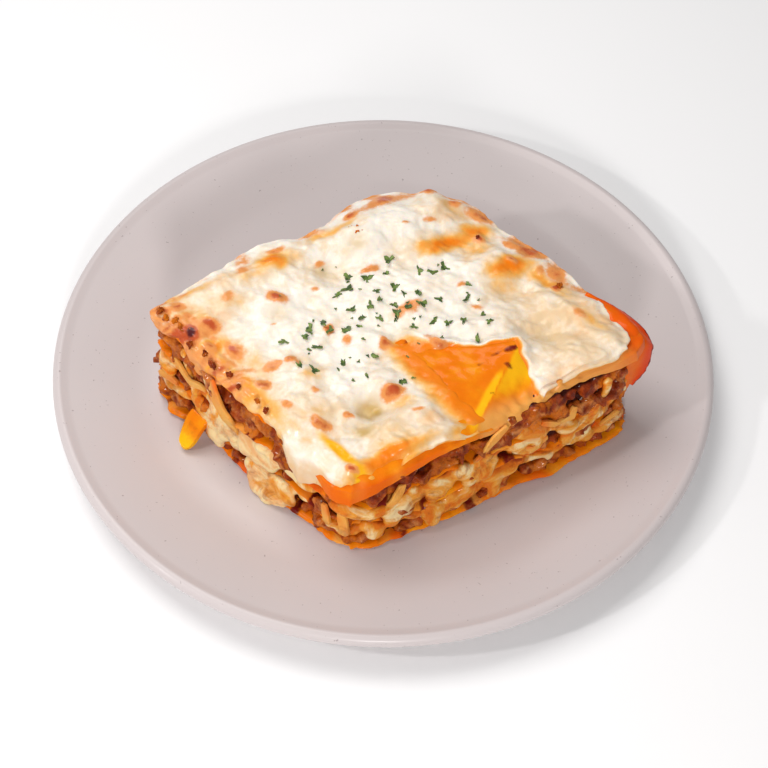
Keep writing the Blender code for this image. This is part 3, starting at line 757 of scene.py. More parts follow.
def meltedLumps(a, b, thickness):   # soft lumps and creases of melted shreds, with fine grain, in metres
    x, y = a * sideRight.length / mm, b * sideLeft.length / mm
    bendX = x + 2.6 * waver(x / 7, y / 7, 1.0)
    bendY = y + 2.6 * waver(x / 7, y / 7, 9.0)
    near = noise.voronoi(Vector((bendX / 8.5, bendY / 6.0, 0.5)))[0]
    shreds = smoothStep(0.0, 0.9, near[1] - near[0])
    soft = noise.fractal(Vector((x / 10, y / 10, 0.4)), 1.0, 2.2, 3)
    grain = noise.fractal(Vector((x / 2.0, y / 2.0, 2.0)), 0.9, 2.0, 2)
    return (1.50 * soft + 0.50 * (shreds - 0.75) + 0.09 * grain) * mm * smoothStep(-0.6, 1.4, thickness)


def cheeseDrop(turn):   # mm that the melted cheese hangs down over the side
    ragged = 9.0 * bump(turn, 3.24, 0.22) * (0.70 + 1.3 * waver(turn * 9, 21.0))
    uneven = 0.8 * waver(turn * 4.1, 5.0) + 0.7 * waver(turn * 13, 2.0)
    return max(1.6 + uneven + bumps(turn, cheeseTop["drop"]) + ragged, 0.9)


def cheeseOut(turn):
    return bumps(turn, cheeseTop["out"]) + 0.8 * waver(turn * 9, 11.0) - 0.5


def cheeseTopMaterial():
    made, tree, shader = newMaterial("brownedCheese", Coat_Weight=0.32, Coat_Roughness=0.16,
                                     Subsurface_Weight=0.25, Subsurface_Scale=0.0016,
                                     Subsurface_Radius=(1.0, 0.6, 0.3), Specular_IOR_Level=0.08)
    tone = cheeseTop
    thin, brown, hollow, yellow = painted(tree, "marks")
    cream, peach, _, _ = painted(tree, "tones")
    mottle = ramp(tree, noiseNode(tree, 170.0, 5.0, 0.62, 0.6), 0.36, 0.66)
    patchy = aroundZero(tree, 0.5, 120.0, 5.0, 0.6, 0.4)
    creamy = plus(tree, times(tree, mottle, 0.35), times(tree, cream, 0.75))
    creamy = plus(tree, creamy, times(tree, patchy, 0.8))
    peachy = plus(tree, peach, times(tree, patchy, 1.6))
    sheer = frayed(tree, thin, 0.55, 0.3, 230.0, 4.0, 0.6)
    toasted = frayed(tree, brown, 0.6, 0.35, 480.0, 4.0, 0.65)
    body = shades(tree, creamy, tone["white"], (0.10, 0.95, tone["cream"]))
    body = shades(tree, peachy, body, (0.25, 1.0, tone["peach"]))
    # painted shade with pooled cheese: the top's dips go a darker yellow-brown
    body = blend(tree, hollow, body, tone["hollow"])
    body = shades(tree, sheer, body, (0.05, 0.50, tone["cream"]), (0.25, 0.70, tone["clear"]),
                  (0.50, 1.0, tone["orange"]))
    body = shades(tree, yellow, body, (0.15, 0.75, tone["yellow"]))
    body = shades(tree, toasted, body, (0.10, 0.42, tone["gold"]), (0.45, 0.85, tone["rust"]),
                  (0.92, 1.2, tone["burnt"]))
    setColour(tree, shader, body)
    setRoughness(tree, shader, noiseNode(tree, 120.0, 4.0, 0.6), 0.24, 0.50)
    setBump(tree, shader, noiseNode(tree, 420.0, 4.0, 0.58), 0.00035, 0.5)
    return made


def cheeseSkirt(top, turn, skirt, thickness, out):   # a point of the cheese that hangs down at the side
    fall = cheeseDrop(turn) * mm * (1 if thickness > 0.6 else 0.5) * smoothStep(0.0, 0.9, skirt)
    around = math.sin(min(skirt / 0.9, 1.0) * math.pi)
    flap = bump(turn, 3.775, 0.10)
    outward = 1.2 * around ** 0.6 + 0.6 * waver(turn * 30, skirt * 3, 4.0) * around
    outward += flap * (0.8 * skirt + 0.5 * waver(turn * 34, skirt * 1.2, 7.0))
    outward += bump(turn, 3.24, 0.22) * around * (1.2 + 2.4 * waver(turn * 19, skirt * 3.0, 9.0))
    inward = (2.0 - 0.8 * flap) * smoothStep(0.84, 1.0, skirt)
    side = hang(top, turn, fall, out + (outward - inward) * mm)
    side.z += 0.5 * mm * smoothStep(0.9, 1.0, skirt)
    showing = (0.62 - 0.30 * flap) * smoothStep(0.0, 0.6, skirt) + 0.25 * waver(turn * 20, skirt * 2, 2.0)
    return side, showing


def makeCheeseTop():
    cap, span = capGrid("meltedTop", cheeseTop["cells"], cheeseTop["skirtCells"])
    marks, tones = [], []
    for vert, isBelow, ring, turn, skirt in capPoints(cap, span):
        if isBelow:
            vert.co = place(0.8, turn, 0.83)
            marks.append((0.0, 0.0, 0.0, 0.0))
            tones.append((0.0, 0.0, 0.0, 0.0))
            continue
        out = cheeseOut(turn) * mm * smoothStep(0.90, 1.0, ring)
        point = place(ring, turn, 1.0, out)
        a, b = sidesOf(point.xy)
        bentA, bentB = a + 0.016 * waver(a * 22, b * 20, 1.0), b + 0.018 * waver(a * 20, b * 22, 5.0)
        inside = insideFold(bentA, bentB)
        thickness = cheeseThickness(a, b, inside)
        point.z = sheetHeight(a, b, inside) + thickness * mm + meltedLumps(a, b, thickness)
        point.z += blisterRise(a, b) * smoothStep(2.5, 0.0, inside)
        point.z -= 1.0 * mm * smoothStep(0.94, 1.0, ring) ** 2
        above = max(point.z / mm - cheeseTop["level"], 0.0)
        point.z -= (above - 1.5 * (1 - math.exp(-above / 1.5))) * mm
        thin = 1 - smoothStep(0.1, 2.3, thickness)
        if skirt > 0:
            point, showing = cheeseSkirt(point, turn, skirt, thickness, out)
            thin = max(thin, showing)
        vert.co = point
        left = smoothStep(0.13, 0.0, a) * smoothStep(0.40, 0.62, b)
        leftCrust = left * (0.42 + 0.75 * waver(a * 44, b * 34, 2.0))
        backEdge = max(smoothStep(0.98, 1.06, a) * smoothStep(0.2, 0.4, b), smoothStep(0.99, 1.06, b))
        backCrust = backEdge * (0.22 + 0.9 * waver(a * 11, b * 11, 4.0))
        orange = max(thin, gather(thinPlaces, bentA, bentB, 0.9), 0.30 * left)
        brown = max(gather(blisters, bentA, bentB), leftCrust, backCrust)
        marks.append((orange, brown, gather(hollows, bentA, bentB), gather(yellowPlaces, a, b)))
        hanging = smoothStep(0.0, 0.5, skirt)
        cream = max(gather(creamPlaces, bentA, bentB), 0.9 * hanging)
        peach = max(gather(peachPlaces, bentA, bentB), 0.55 * hanging)
        tones.append((cream, peach, 0.0, 0.0))
    paint(cap, "marks", marks)
    paint(cap, "tones", tones)
    return finish(cap, ["cheese_top"], cheeseTopMaterial())


makeCheeseTop()

# The pasta sheets
pasta = {
    "orange": (0.82, 0.185, 0.003, 1),
    "yellow": (0.97, 0.48, 0.008, 1),
    "red": (0.74, 0.050, 0.002, 1),
    "pale": (0.78, 0.42, 0.11, 1),
    "toast": (0.17, 0.010, 0.006, 1),
}


def pastaMaterial(name, isAtSide):
    made, tree, shader = newMaterial(name, Coat_Weight=0.16, Coat_Roughness=0.06, Subsurface_Weight=0.15,
                                     Subsurface_Scale=0.0018, Subsurface_Radius=(1.0, 0.45, 0.12),
                                     Specular_IOR_Level=0.03)
    yellow, toast, red, pale = painted(tree, "marks")
    drift = times(tree, aroundZero(tree, 0.42, 80.0, 4.0, 0.6), 1.4)
    body = shades(tree, plus(tree, yellow, drift), pasta["orange"], (0.0, 0.9, pasta["yellow"]))
    body = blend(tree, pale, body, pasta["pale"])
    body = blend(tree, red, body, pasta["red"])
    if isAtSide:
        body = oiled(tree, body, 0.30)
    scorched = frayed(tree, toast, 0.9, 0.3, 500.0, 4.0, 0.6)
    setColour(tree, shader, shades(tree, scorched, body, (0.25, 0.85, pasta["toast"])))
    setRoughness(tree, shader, noiseNode(tree, 150.0, 3.0, 0.6), 0.22, 0.42)
    setBump(tree, shader, noiseNode(tree, 380.0, 4.0, 0.6), 0.0003, 0.5)
    return made


topFinish = pastaMaterial("oiledPasta", False)
pastaFinish = pastaMaterial("saucedPasta", True)
topSheet = {
    "cells": 130,
    "skirtCells": 14,
    # Where its edge hangs down and stands out past the side: mm, turn, width
    "drop": ((3.6, 0.02, 0.10), (1.2, 0.19, 0.10), (3.0, 3.93, 0.08), (2.5, 1.0, 0.10), (1.5, 3.02, 0.04)),
    "out": ((4.6, 1.08, 0.11), (4.6, 3.01, 0.06), (3.0, 1.55, 0.30), (5.0, 2.22, 0.20), (1.8, 3.97, 0.10),
            (-0.8, 3.73, 0.10), (-4.2, 0.78, 0.14), (-1.0, 3.24, 0.2)),
}
# The curl over the right corner: turn, mm out and share of height, along its root and along its rim
curl = {
    "root": ((1.31, 0.0, 0.95), (1.22, -0.5, 0.94), (1.12, -0.5, 0.93), (1.04, -0.5, 0.91), (1.00, 0.0, 0.80),
             (0.995, 0.4, 0.66), (1.00, 0.8, 0.52)),
    "rim": ((1.31, 1.5, 0.95), (1.22, 6.8, 0.90), (1.135, 8.4, 0.84), (1.10, 9.4, 0.735), (1.08, 8.2, 0.62),
            (1.05, 6.0, 0.56), (1.02, 3.0, 0.51)),
    "thickness": 1.6 * mm,
}
tongue = {"middle": (3.30, 3.345), "halfWidth": 0.041, "shares": (0.25, 0.035), "out": (2.4, 12.0),
          "thickness": 2.0 * mm}
toastedPasta = (
    (0.7, 0.215, 2.6, 1.3, 1.0), (0.65, 0.165, 1.5, 1.5, 0.85), (0.655, 0.225, 2.6, 0.9, 0.7),
    (0.595, 0.215, 2.4, 1.0, 0.55), (0.55, 0.1, 1.0, 1.0, 0.45), (0.05, 0.07, 1.4, 1.6, 0.9),
    (0.5, 0.44, 2.4, 1.4, 0.55),
)


def alongPath(points, share):   # a place on a path of several points, its numbers eased from point to point
    reach = share * (len(points) - 1)
    spot = min(int(reach), len(points) - 2)
    return [mix(first, second, reach - spot) for first, second in zip(points[spot], points[spot + 1])]


def curlPoint(across, down):
    root, rim = (alongPath(curl[path], (across + 1) / 2) for path in ("root", "rim"))
    turn, out, share = (mix(*ends, down) for ends in zip(root, rim))
    out += 0.45 * waver(across * 11, down * 5, 4.0) * down
    point = place(1.0, turn, share, out * mm)
    point.z += (1.6 * math.sin(math.pi * down) + 0.5 * waver(across * 5, down * 3, 5.0)) * mm
    return point


def tonguePoint(across, down):
    width = tongue["halfWidth"] * (1 - 0.25 * down) * math.sqrt(max(1 - 0.98 * down ** 3.2, 0.0))
    out = mix(*tongue["out"], down ** 0.9)
    share = mix(*tongue["shares"], math.sin(down * math.pi / 2) ** 1.5)
    point = place(1.0, mix(*tongue["middle"], down) + across * width, share, out * mm)
    point.z = max(point.z, plateTop(point.xy.length) + 0.9 * mm)
    return point


def sheetMarks(vert, onCurl, down, isCurl):   # how yellow, toasted, red and pale a point of the top sheet is
    a, b = sidesOf(vert.co.xy)
    turn, out = standOut(vert.co)
    _, across = acrossFold(a, b)
    right = smoothStep(0.40, 0.46, a)
    # Painted light: the fold's steep face right of its ridge is painted bright yellow, paler low at the
    # front, and its crest gets a bright yellow line as a painted highlight
    litSteepFace = smoothStep(0.004, -0.012, across) * right * smoothStep(0.30, 0.24, b)
    crestHighlight = smoothStep(0.030, 0.012, across) * smoothStep(-0.004, 0.004, across) * smoothStep(0.19, 0.13, b)
    yellow = max(0.95 * litSteepFace * smoothStep(0.05, 0.15, b), 0.9 * crestHighlight * right)
    toast = gather(toastedPasta, a + 0.012 * waver(a * 40, b * 40), b)
    red = 0.18 * smoothStep(0.24, 0.05, b) * smoothStep(0.66, 0.9, a)
    if isCurl:
        ragged = down + 0.05 * waver(onCurl * 12, down * 6, 3.0)
        red = 0.55 + 0.45 * smoothStep(0.35, 0.95, ragged)
        toast = 0.75 * smoothStep(0.86, 0.98, ragged)
        yellow = 0.0
    pale = 0.15 * smoothStep(0.0, 0.5, waver(turn * 16, 1.0)) * smoothStep(-1.0, 0.5, out)
    pale = max(pale, 0.7 * litSteepFace * smoothStep(0.09, 0.02, b))
    # Painted shade: the edge hanging at the front corner is darkened toward red
    frontEdgeShade = bump(turn, 0.08, 0.30) * smoothStep(-0.5, 1.0, out)
    nearCurl = bump(turn, 1.12, 0.17) * smoothStep(-1.0, 1.0, out)
    return yellow, toast, max(red, 0.42 * frontEdgeShade, 0.65 * nearCurl), pale * (1 - nearCurl)


def makeTopSheet():
    cap, span = capGrid("pastaTop", topSheet["cells"], topSheet["skirtCells"])
    for vert, isBelow, ring, turn, skirt in capPoints(cap, span):
        if isBelow:
            vert.co = place(0.8, turn, 0.77)
            continue
        edgeOut = 0.5 + 0.8 * waver(turn * 7, 9.0) + bumps(turn, topSheet["out"])
        out = edgeOut * mm * smoothStep(0.90, 1.0, ring)
        point = place(ring, turn, 1.0, out)
        a, b = sidesOf(point.xy)
        point.z = sheetHeight(a, b, insideFold(a, b)) - 0.8 * mm * smoothStep(0.95, 1.0, ring) ** 2
        lumpy = smoothStep(0.12, 0.02, b) * smoothStep(0.48, 0.58, a) * smoothStep(0.95, 0.7, a)
        point.z += (0.3 + 1.3 * lumpy) * mm * waver(a * 40, b * 36, 6.0)
        if skirt > 0:
            drop = max(1.5 + 0.6 * waver(turn * 6, 8.0) + bumps(turn, topSheet["drop"]), 1.0)
            outward = 0.9 * math.sin(min(skirt / 0.85, 1.0) * math.pi / 2)
            outward -= 1.6 * smoothStep(0.84, 1.0, skirt)
            point = hang(point, turn, drop * mm * smoothStep(0.0, 0.85, skirt), out + outward * mm)
        vert.co = point
    flap = makeFlap("cornerCurl", 44, 18, curlPoint, curl["thickness"])
    sheet = joinAll([cap, flap], "pastaTop")
    spots = takeSpots(sheet)
    paint(sheet, "marks", [sheetMarks(vert, *spot) for vert, spot in zip(sheet.data.vertices, spots)])
    return finish(sheet, ["pasta_sheet_4"], topFinish)


makeTopSheet()


# Each sheet's edge stands out by "stand" and "ruffle", in mm, and more at its tips: mm, turn, width
lowerSheets = {
    "pastaBottom": {"node": "pasta_sheet_1", "low": 0.0, "high": 0.055, "seed": 1,
                    "stand": 1.4, "ruffle": 1.4,
                    "tips": ((4.6, 3.17, 0.05), (1.4, 0.65, 0.035), (2.4, 0.76, 0.24))},
    "pastaLower": {"node": "pasta_sheet_2", "low": 0.285, "high": 0.335, "seed": 2,
                   "stand": 0.7, "ruffle": 1.3, "tips": ((1.8, 3.32, 0.055),)},
    "pastaUpper": {"node": "pasta_sheet_3", "low": 0.565, "high": 0.615, "seed": 3,
                   "stand": 0.5, "ruffle": 1.5,
                   "tips": ((2.6, 3.45, 0.10), (1.8, 3.14, 0.05), (1.6, 0.55, 0.05))},
}
sheetSection = ((0.30, 0.0), (0.86, 0.0), (0.93, 0.0), (0.97, 0.0), (0.985, 0.06), (0.996, 0.25), (1.0, 0.5),
                (0.996, 0.75), (0.985, 0.94), (0.97, 1.0), (0.93, 1.0), (0.86, 1.0), (0.30, 1.0))


def sheetPoint(values, level, ring, turn):
    seed, liesOnPlate = values["seed"], values["low"] == 0.0
    near = smoothStep(0.90, 1.0, ring)
    out = values["stand"] + bumps(turn, values["tips"])
    out += values["ruffle"] * waver(turn * 5.3, 3 * seed - 2, 0.7)
    out += 0.6 * waver(turn * 26, seed, 2.0) + 0.4 * waver(turn * 60, seed, 4.0)
    lift = sliceShape["gap"] * (0.5 - level)
    if not liesOnPlate:
        lift += 1.3 * mm * near * (0.7 * waver(turn * 9, seed, 9.0) + 0.5 * waver(turn * 23, seed))
    point = sidePlace(ring, turn, mix(values["low"], values["high"], level), out * mm * near, lift)
    if liesOnPlate:
        point.z = max(point.z, plateTop(point.xy.length) + (0.05 + 1.4 * level) * mm)
    return point


def makeSheet(name):
    values = lowerSheets[name]
    seed, node = values["seed"], values["node"]
    sheet = ringStack(name, 640, sheetSection)
    for vert in sheet.data.vertices:
        vert.co = sheetPoint(values, *stackPoint(vert))
    spots = [(0.0, 0.0, False)] * len(sheet.data.vertices)
    if name == "pastaLower":
        sheet = joinAll([sheet, makeFlap("tongue", 16, 18, tonguePoint, tongue["thickness"])], name)
        spots = takeSpots(sheet)
    marks = []
    for vert, (_, down, onTongue) in zip(sheet.data.vertices, spots):
        turn, _ = standOut(vert.co)
        if onTongue:
            marks.append((0.75 * smoothStep(0.25, 0.7, down), 0.0, 0.0, 0.0))
            continue
        yellow = -0.15 + 0.6 * waver(turn * 8, seed, 5.0)
        toast = 0.8 * smoothStep(0.15, 0.45, waver(turn * 14, seed, 11.0))
        red = 0.7 * smoothStep(0.1, 0.5, waver(turn * 9, seed, 7.0))
        pale = 0.5 * smoothStep(0.05, 0.5, waver(turn * 11, seed, 3.0))
        marks.append((yellow, toast, red, pale))
    paint(sheet, "marks", marks)
    return finish(sheet, [node], pastaFinish)


for sheetName in lowerSheets:
    makeSheet(sheetName)

# Meat sauce: a core, with lumps of mince pressed on all round its side
mince = {
    # The darkest colour is painted shade for what lies furthest in; the lightest is laid on lumps that stand
    # out, as painted light mixed with noise
    "recessShade": (0.050, 0.005, 0.002, 1),
    "dark": (0.150, 0.014, 0.003, 1),
    "brown": (0.36, 0.055, 0.008, 1),
    "light": (0.62, 0.22, 0.06, 1),
    "oil": (0.66, 0.16, 0.006, 1),
    "voxel": 0.62 * mm,
    "kinds": 8,
}
meatLayers = {
    "meatLower": {"node": "ragu_1", "low": 0.055, "high": 0.160, "lumps": 260, "size": (0.8, 2.2), "seed": 21,
                  "core": -2.4, "stand": 0.5},
    "meatMiddle": {"node": "ragu_2", "low": 0.335, "high": 0.440, "lumps": 260, "size": (0.8, 2.4),
                   "seed": 22, "core": -2.4, "stand": 0.5},
    "meatUpper": {"node": "ragu_3", "low": 0.615, "high": 0.855, "lumps": 430, "size": (1.0, 3.1), "seed": 23,
                  "core": -3.2, "stand": 0.2, "onTop": 70},
}


def meatMaterial():
    made, tree, shader = newMaterial("meatSauce", Coat_Weight=0.26, Coat_Roughness=0.06,
                                     Subsurface_Weight=0.08, Subsurface_Scale=0.001,
                                     Subsurface_Radius=(1.0, 0.3, 0.15), Specular_IOR_Level=0.03)
    high, _, _, _ = painted(tree, "marks")
    grain = noiseNode(tree, 240.0, 4.0, 0.6)
    # painted light: lumps that stand out are laid lighter, mixed with noise
    pale = plus(tree, ramp(tree, noiseNode(tree, 180.0, 4.0, 0.6, 0.6), 0.35, 0.75), high)
    oil = ramp(tree, noiseNode(tree, 75.0, 4.0, 0.6, 1.0), 0.50, 0.64, 0.85)
    body = shades(tree, grain, mince["dark"], (0.36, 0.62, mince["brown"]))
    body = shades(tree, pale, body, (1.10, 1.9, mince["light"]))
    body = oiled(tree, blend(tree, oil, body, mince["oil"]), 0.45)
    # painted shade: the points that lie furthest in go to a very dark colour
    setColour(tree, shader, shades(tree, high, body, (0.42, 0.08, mince["recessShade"])))
    setRoughness(tree, shader, noiseNode(tree, 300.0, 3.0, 0.6), 0.18, 0.46)
    setBump(tree, shader, noiseNode(tree, 560.0, 5.0, 0.65), 0.0011, 0.8)
    return made


def lumpKinds():   # a few crumbly lumps to copy
    kinds = []
    for number in range(mince["kinds"]):
        bpy.ops.mesh.primitive_ico_sphere_add(subdivisions=3, radius=1.0)
        lump = bpy.context.active_object
        for vert in lump.data.vertices:
            way = vert.co.normalized()
            rough = noise.fractal(way * 1.4 + Vector((number * 7, 0, 0)), 0.7, 2.1, 4)
            vert.co = way * (1 + 0.75 * rough)
        kinds.append(lump)
    return kinds


meatFinish = meatMaterial()
kindsOfLump = lumpKinds()


def copyLump(number, location, size, draw):
    lump = kindsOfLump[number % len(kindsOfLump)].copy()
    lump.data = lump.data.copy()
    bpy.context.collection.objects.link(lump)
    lump.location = location
    lump.rotation_euler = [draw.uniform(0, math.tau) for _ in range(3)]
    lump.scale = [size * draw.uniform(0.7, 1.3) for _ in range(3)]
    return lump


def scatterLumps(values, draw):
    made = []
    for number in range(values["lumps"]):
        turn = draw.uniform(0, 4)
        size = draw.uniform(*values["size"]) * mm
        share = draw.uniform(values["low"] + 0.012, values["high"] - 0.6 * size / sliceShape["usualHeight"])
        out = draw.uniform(-1.1, values["stand"]) * size - 0.5 * mm
        underFlap = bump(turn, 3.92, 0.14) * smoothStep(0.62, 0.72, share)   # of cheese, at the front corner
        out -= 3.0 * mm * underFlap
        made.append(copyLump(number, sidePlace(1.0, turn, share, out), size, draw))
    for number in range(values.get("onTop", 0)):   # bare mince where the cheese stops short of the side
        ring, turn = draw.uniform(0.84, 0.99), draw.uniform(0.5, 1.0)
        size = draw.uniform(1.2, 2.4) * mm
        made.append(copyLump(number, place(ring, turn, 0.82), size, draw))
    return made


def layerBand(name, values, edge):   # the outer few millimetres of a layer
    rows = 5
    levels = [(0.90, 0.0)] + [(1.0, row / rows) for row in range(rows + 1)] + [(0.90, 1.0)]
    band = ringStack(name + "Band", 300, levels)
    for vert in band.data.vertices:
        level, ring, turn = stackPoint(vert)
        out = edge(turn, level) * mm * smoothStep(0.9, 1.0, ring)
        share = mix(values["low"], values["high"], level)
        vert.co = sidePlace(ring, turn, share, out, sliceShape["gap"] * (0.5 - level))
    return band


def restOnPlate(obj):
    for vert in obj.data.vertices:
        vert.co.z = max(vert.co.z, plateTop(vert.co.xy.length) + 0.05 * mm)


def heightMarks(obj, low, high, paler=None):   # how far each point stands out: 0 at low, 1 at high, turned by the meat and sauce materials into painted shade further in and painted light further out
    marks = []
    for vert in obj.data.vertices:
        turn, out = standOut(vert.co)
        share = (vert.co.z - plateShape["wellTop"]) / sliceHeight(*sidesOf(vert.co.xy))
        flare = flareAt(turn) / mm * (1 - min(max(share, 0), 1))
        mark = smoothStep(low, high, out - flare) + (paler(turn) if paler else 0.0)
        marks.append((mark, 0.0, 0.0, 1.0))
    paint(obj, "marks", marks)


def makeMeat(name):
    values = meatLayers[name]
    lumps = scatterLumps(values, random.Random(values["seed"]))
    band = layerBand(name, values, lambda turn, level: values["core"])
    layer = remesh(joinAll([band] + lumps, name), mince["voxel"], 1)
    restOnPlate(layer)
    heightMarks(layer, -3.0, 1.6)
    return finish(layer, [values["node"]], meatFinish)


for meatName in meatLayers:
    makeMeat(meatName)

# Crumbs of mince baked into the top: a, b, radius in mm
topCrumbs = (
    (0.68, 0.945, 1.7), (0.665, 0.965, 1.2), (0.69, 0.93, 0.8), (0.015, 0.87, 1.5), (0.03, 0.84, 1.1),
    (1.015, 0.4, 1.1), (0.97, 0.745, 0.8), (0.64, 0.175, 0.6), (0.015, 0.9, 1.0), (0.005, 0.97, 1.5),
    (0.0, 0.93, 1.2), (0.0, 0.8, 1.4), (0.01, 0.74, 1.1), (0.0, 0.69, 1.3), (0.015, 0.62, 1.0),
    (0.005, 0.56, 1.1), (0.01, 0.47, 0.9), (0.005, 0.42, 1.0),
)


def makeCrumbs():
    draw = random.Random(5)
    crumbs = []
    for number, (a, b, radius) in enumerate(topCrumbs):
        x, y = plan(a, b)
        height = topHeight(a, b) - 0.4 * radius * mm
        crumbs.append(copyLump(number, (x, y, height), 0.85 * radius * mm, draw))
    joined = joinAll(crumbs, "topCrumbs")
    paint(joined, "marks", [(0.5, 0.0, 0.0, 1.0)] * len(joined.data.vertices))
    return finish(joined, [], meatFinish)


makeCrumbs()
for kind in kindsOfLump:
    bpy.data.objects.remove(kind)

# Melted cheese between the sheets
sauce = {
    "cream": (0.87, 0.66, 0.34, 1),
    "yellow": (0.78, 0.33, 0.04, 1),
    "orange": (0.70, 0.17, 0.008, 1),
    "rust": (0.34, 0.050, 0.006, 1),
    "voxel": 0.62 * mm,
}
# Drips: turn, half width, share at the top and at the bottom, how far out in mm, number of beads
# Strings across the meat: turn and share of both ends, and radius in mm
cheeseLayers = {
    "cheeseLower": {"node": "cheese_1", "low": 0.160, "high": 0.285, "seed": 31,
                    "blobs": 90, "size": (1.5, 3.0),
                    "drips": ((3.64, 0.11, 0.22, 0.03, 5.0, 34), (0.27, 0.020, 0.26, 0.05, 2.8, 7),
                              (0.47, 0.018, 0.24, 0.03, 2.6, 6), (3.36, 0.13, 0.44, 0.10, 3.0, 40),
                              (0.36, 0.06, 0.26, 0.12, 1.6, 10), (0.80, 0.05, 0.34, 0.20, 1.4, 9),
                              (0.10, 0.06, 0.32, 0.16, 1.4, 9)),
                    "strings": ()},
    "cheeseUpper": {"node": "cheese_2", "low": 0.440, "high": 0.565, "seed": 32,
                    "blobs": 110, "size": (1.5, 3.4),
                    "drips": ((3.50, 0.16, 0.54, 0.30, 2.4, 30), (0.42, 0.08, 0.54, 0.30, 1.8, 18),
                              (0.16, 0.07, 0.52, 0.28, 1.8, 16), (0.60, 0.07, 0.66, 0.36, 1.6, 16),
                              (0.30, 0.05, 0.52, 0.34, 1.6, 10), (0.76, 0.05, 0.50, 0.32, 1.4, 9),
                              (1.5, 0.30, 0.52, 0.34, 1.4, 20), (2.5, 0.30, 0.52, 0.34, 1.4, 20)),
                    "strings": ((0.88, 0.84, 0.84, 0.56, 1.20), (3.30, 0.80, 3.40, 0.46, 1.20),
                                (3.18, 0.78, 3.24, 0.44, 1.20))},
}


def sauceMaterial():
    made, tree, shader = newMaterial("cheeseSauce", Coat_Weight=0.40, Coat_Roughness=0.05,
                                     Subsurface_Weight=0.3, Subsurface_Scale=0.0016,
                                     Subsurface_Radius=(1.0, 0.6, 0.25), Specular_IOR_Level=0.03)
    high, _, _, _ = painted(tree, "marks")
    drift = times(tree, aroundZero(tree, 0.5, 95.0, 4.0, 0.62, 0.8), 3.4)
    # painted shade and light: rust where the sauce lies further in, yellow and cream where it stands out,
    # broken up by noise
    body = shades(tree, plus(tree, high, drift), sauce["orange"], (0.20, 0.55, sauce["yellow"]),
                  (0.50, 0.95, sauce["cream"]), (0.15, -0.35, sauce["rust"]))
    setColour(tree, shader, oiled(tree, body, 0.52))
    setRoughness(tree, shader, noiseNode(tree, 200.0, 3.0, 0.6), 0.16, 0.40)
    setBump(tree, shader, noiseNode(tree, 300.0, 4.0, 0.6), 0.0008, 0.6)
    return made


def addBlob(turn, share, out, scale):
    location = sidePlace(1.0, turn % 4, share, out)
    bpy.ops.mesh.primitive_uv_sphere_add(segments=14, ring_count=9, radius=1.0, location=location)
    blob = bpy.context.active_object
    along = outlineAt((turn + 0.01) % 4) - outlineAt((turn - 0.01) % 4)
    blob.rotation_euler = (0, 0, math.atan2(along.y, along.x))
    blob.scale = scale
    return blob


def addString(turnA, shareA, turnB, shareB, radius):   # beads close enough to blend into one string
    beads = []
    count = 14
    for number in range(count):
        along = number / (count - 1)
        middle = math.sin(along * math.pi)
        size = radius * mm * (1.25 - 0.5 * middle)
        turn, share = mix(turnA, turnB, along), mix(shareA, shareB, along) - 0.03 * middle
        out = (0.5 + 0.4 * waver(along * 4, turnA)) * mm
        beads.append(addBlob(turn, share, out, (size * 1.4, size, size * 2.0)))
    return beads


def addDrip(draw, middle, width, high, low, farOut, count):
    beads = []
    for number in range(count):
        down = (number + 0.5) / count
        turn = middle + draw.uniform(-width, width) * math.sqrt(1 - down ** 2)
        size = draw.uniform(1.5, 3.0) * mm
        out = (farOut * (0.35 + 0.5 * down) - 1.2) * mm
        scale = (size * 1.2, size * 0.8, size * draw.uniform(1.0, 1.6))
        beads.append(addBlob(turn, mix(high, low, down), out, scale))
    return beads


def paleness(turn):   # the sauce is darker all round than on the left side
    return mix(-0.44, 0.02, smoothStep(3.2, 3.4, turn) * smoothStep(3.82, 3.7, turn))


def makeCheeseLayer(name):
    values = cheeseLayers[name]
    draw = random.Random(values["seed"])
    blobs = []
    for number in range(values["blobs"]):
        size = draw.uniform(*values["size"]) * mm
        share = draw.uniform(values["low"] + 0.02, values["high"] - 0.02)
        scale = (size * draw.uniform(0.9, 2.2), size * draw.uniform(0.6, 1.0), size * draw.uniform(0.5, 1.0))
        blobs.append(addBlob(draw.uniform(0, 4), share, draw.uniform(-1.6, 0.2) * mm, scale))
    for drip in values["drips"]:
        blobs += addDrip(draw, *drip)
    for string in values["strings"]:
        blobs += addString(*string)

    def swell(turn, level):
        return -1.2 + 1.4 * math.sin(math.pi * level) + 1.2 * waver(turn * 8, level, values["seed"])

    layer = joinAll([layerBand(name, values, swell)] + blobs, name)
    layer = remesh(layer, sauce["voxel"], 7)
    restOnPlate(layer)
    heightMarks(layer, -2.2, 1.6, paleness)
    return finish(layer, [values["node"]], sauceFinish)


sauceFinish = sauceMaterial()
for layerName in cheeseLayers:
    makeCheeseLayer(layerName)

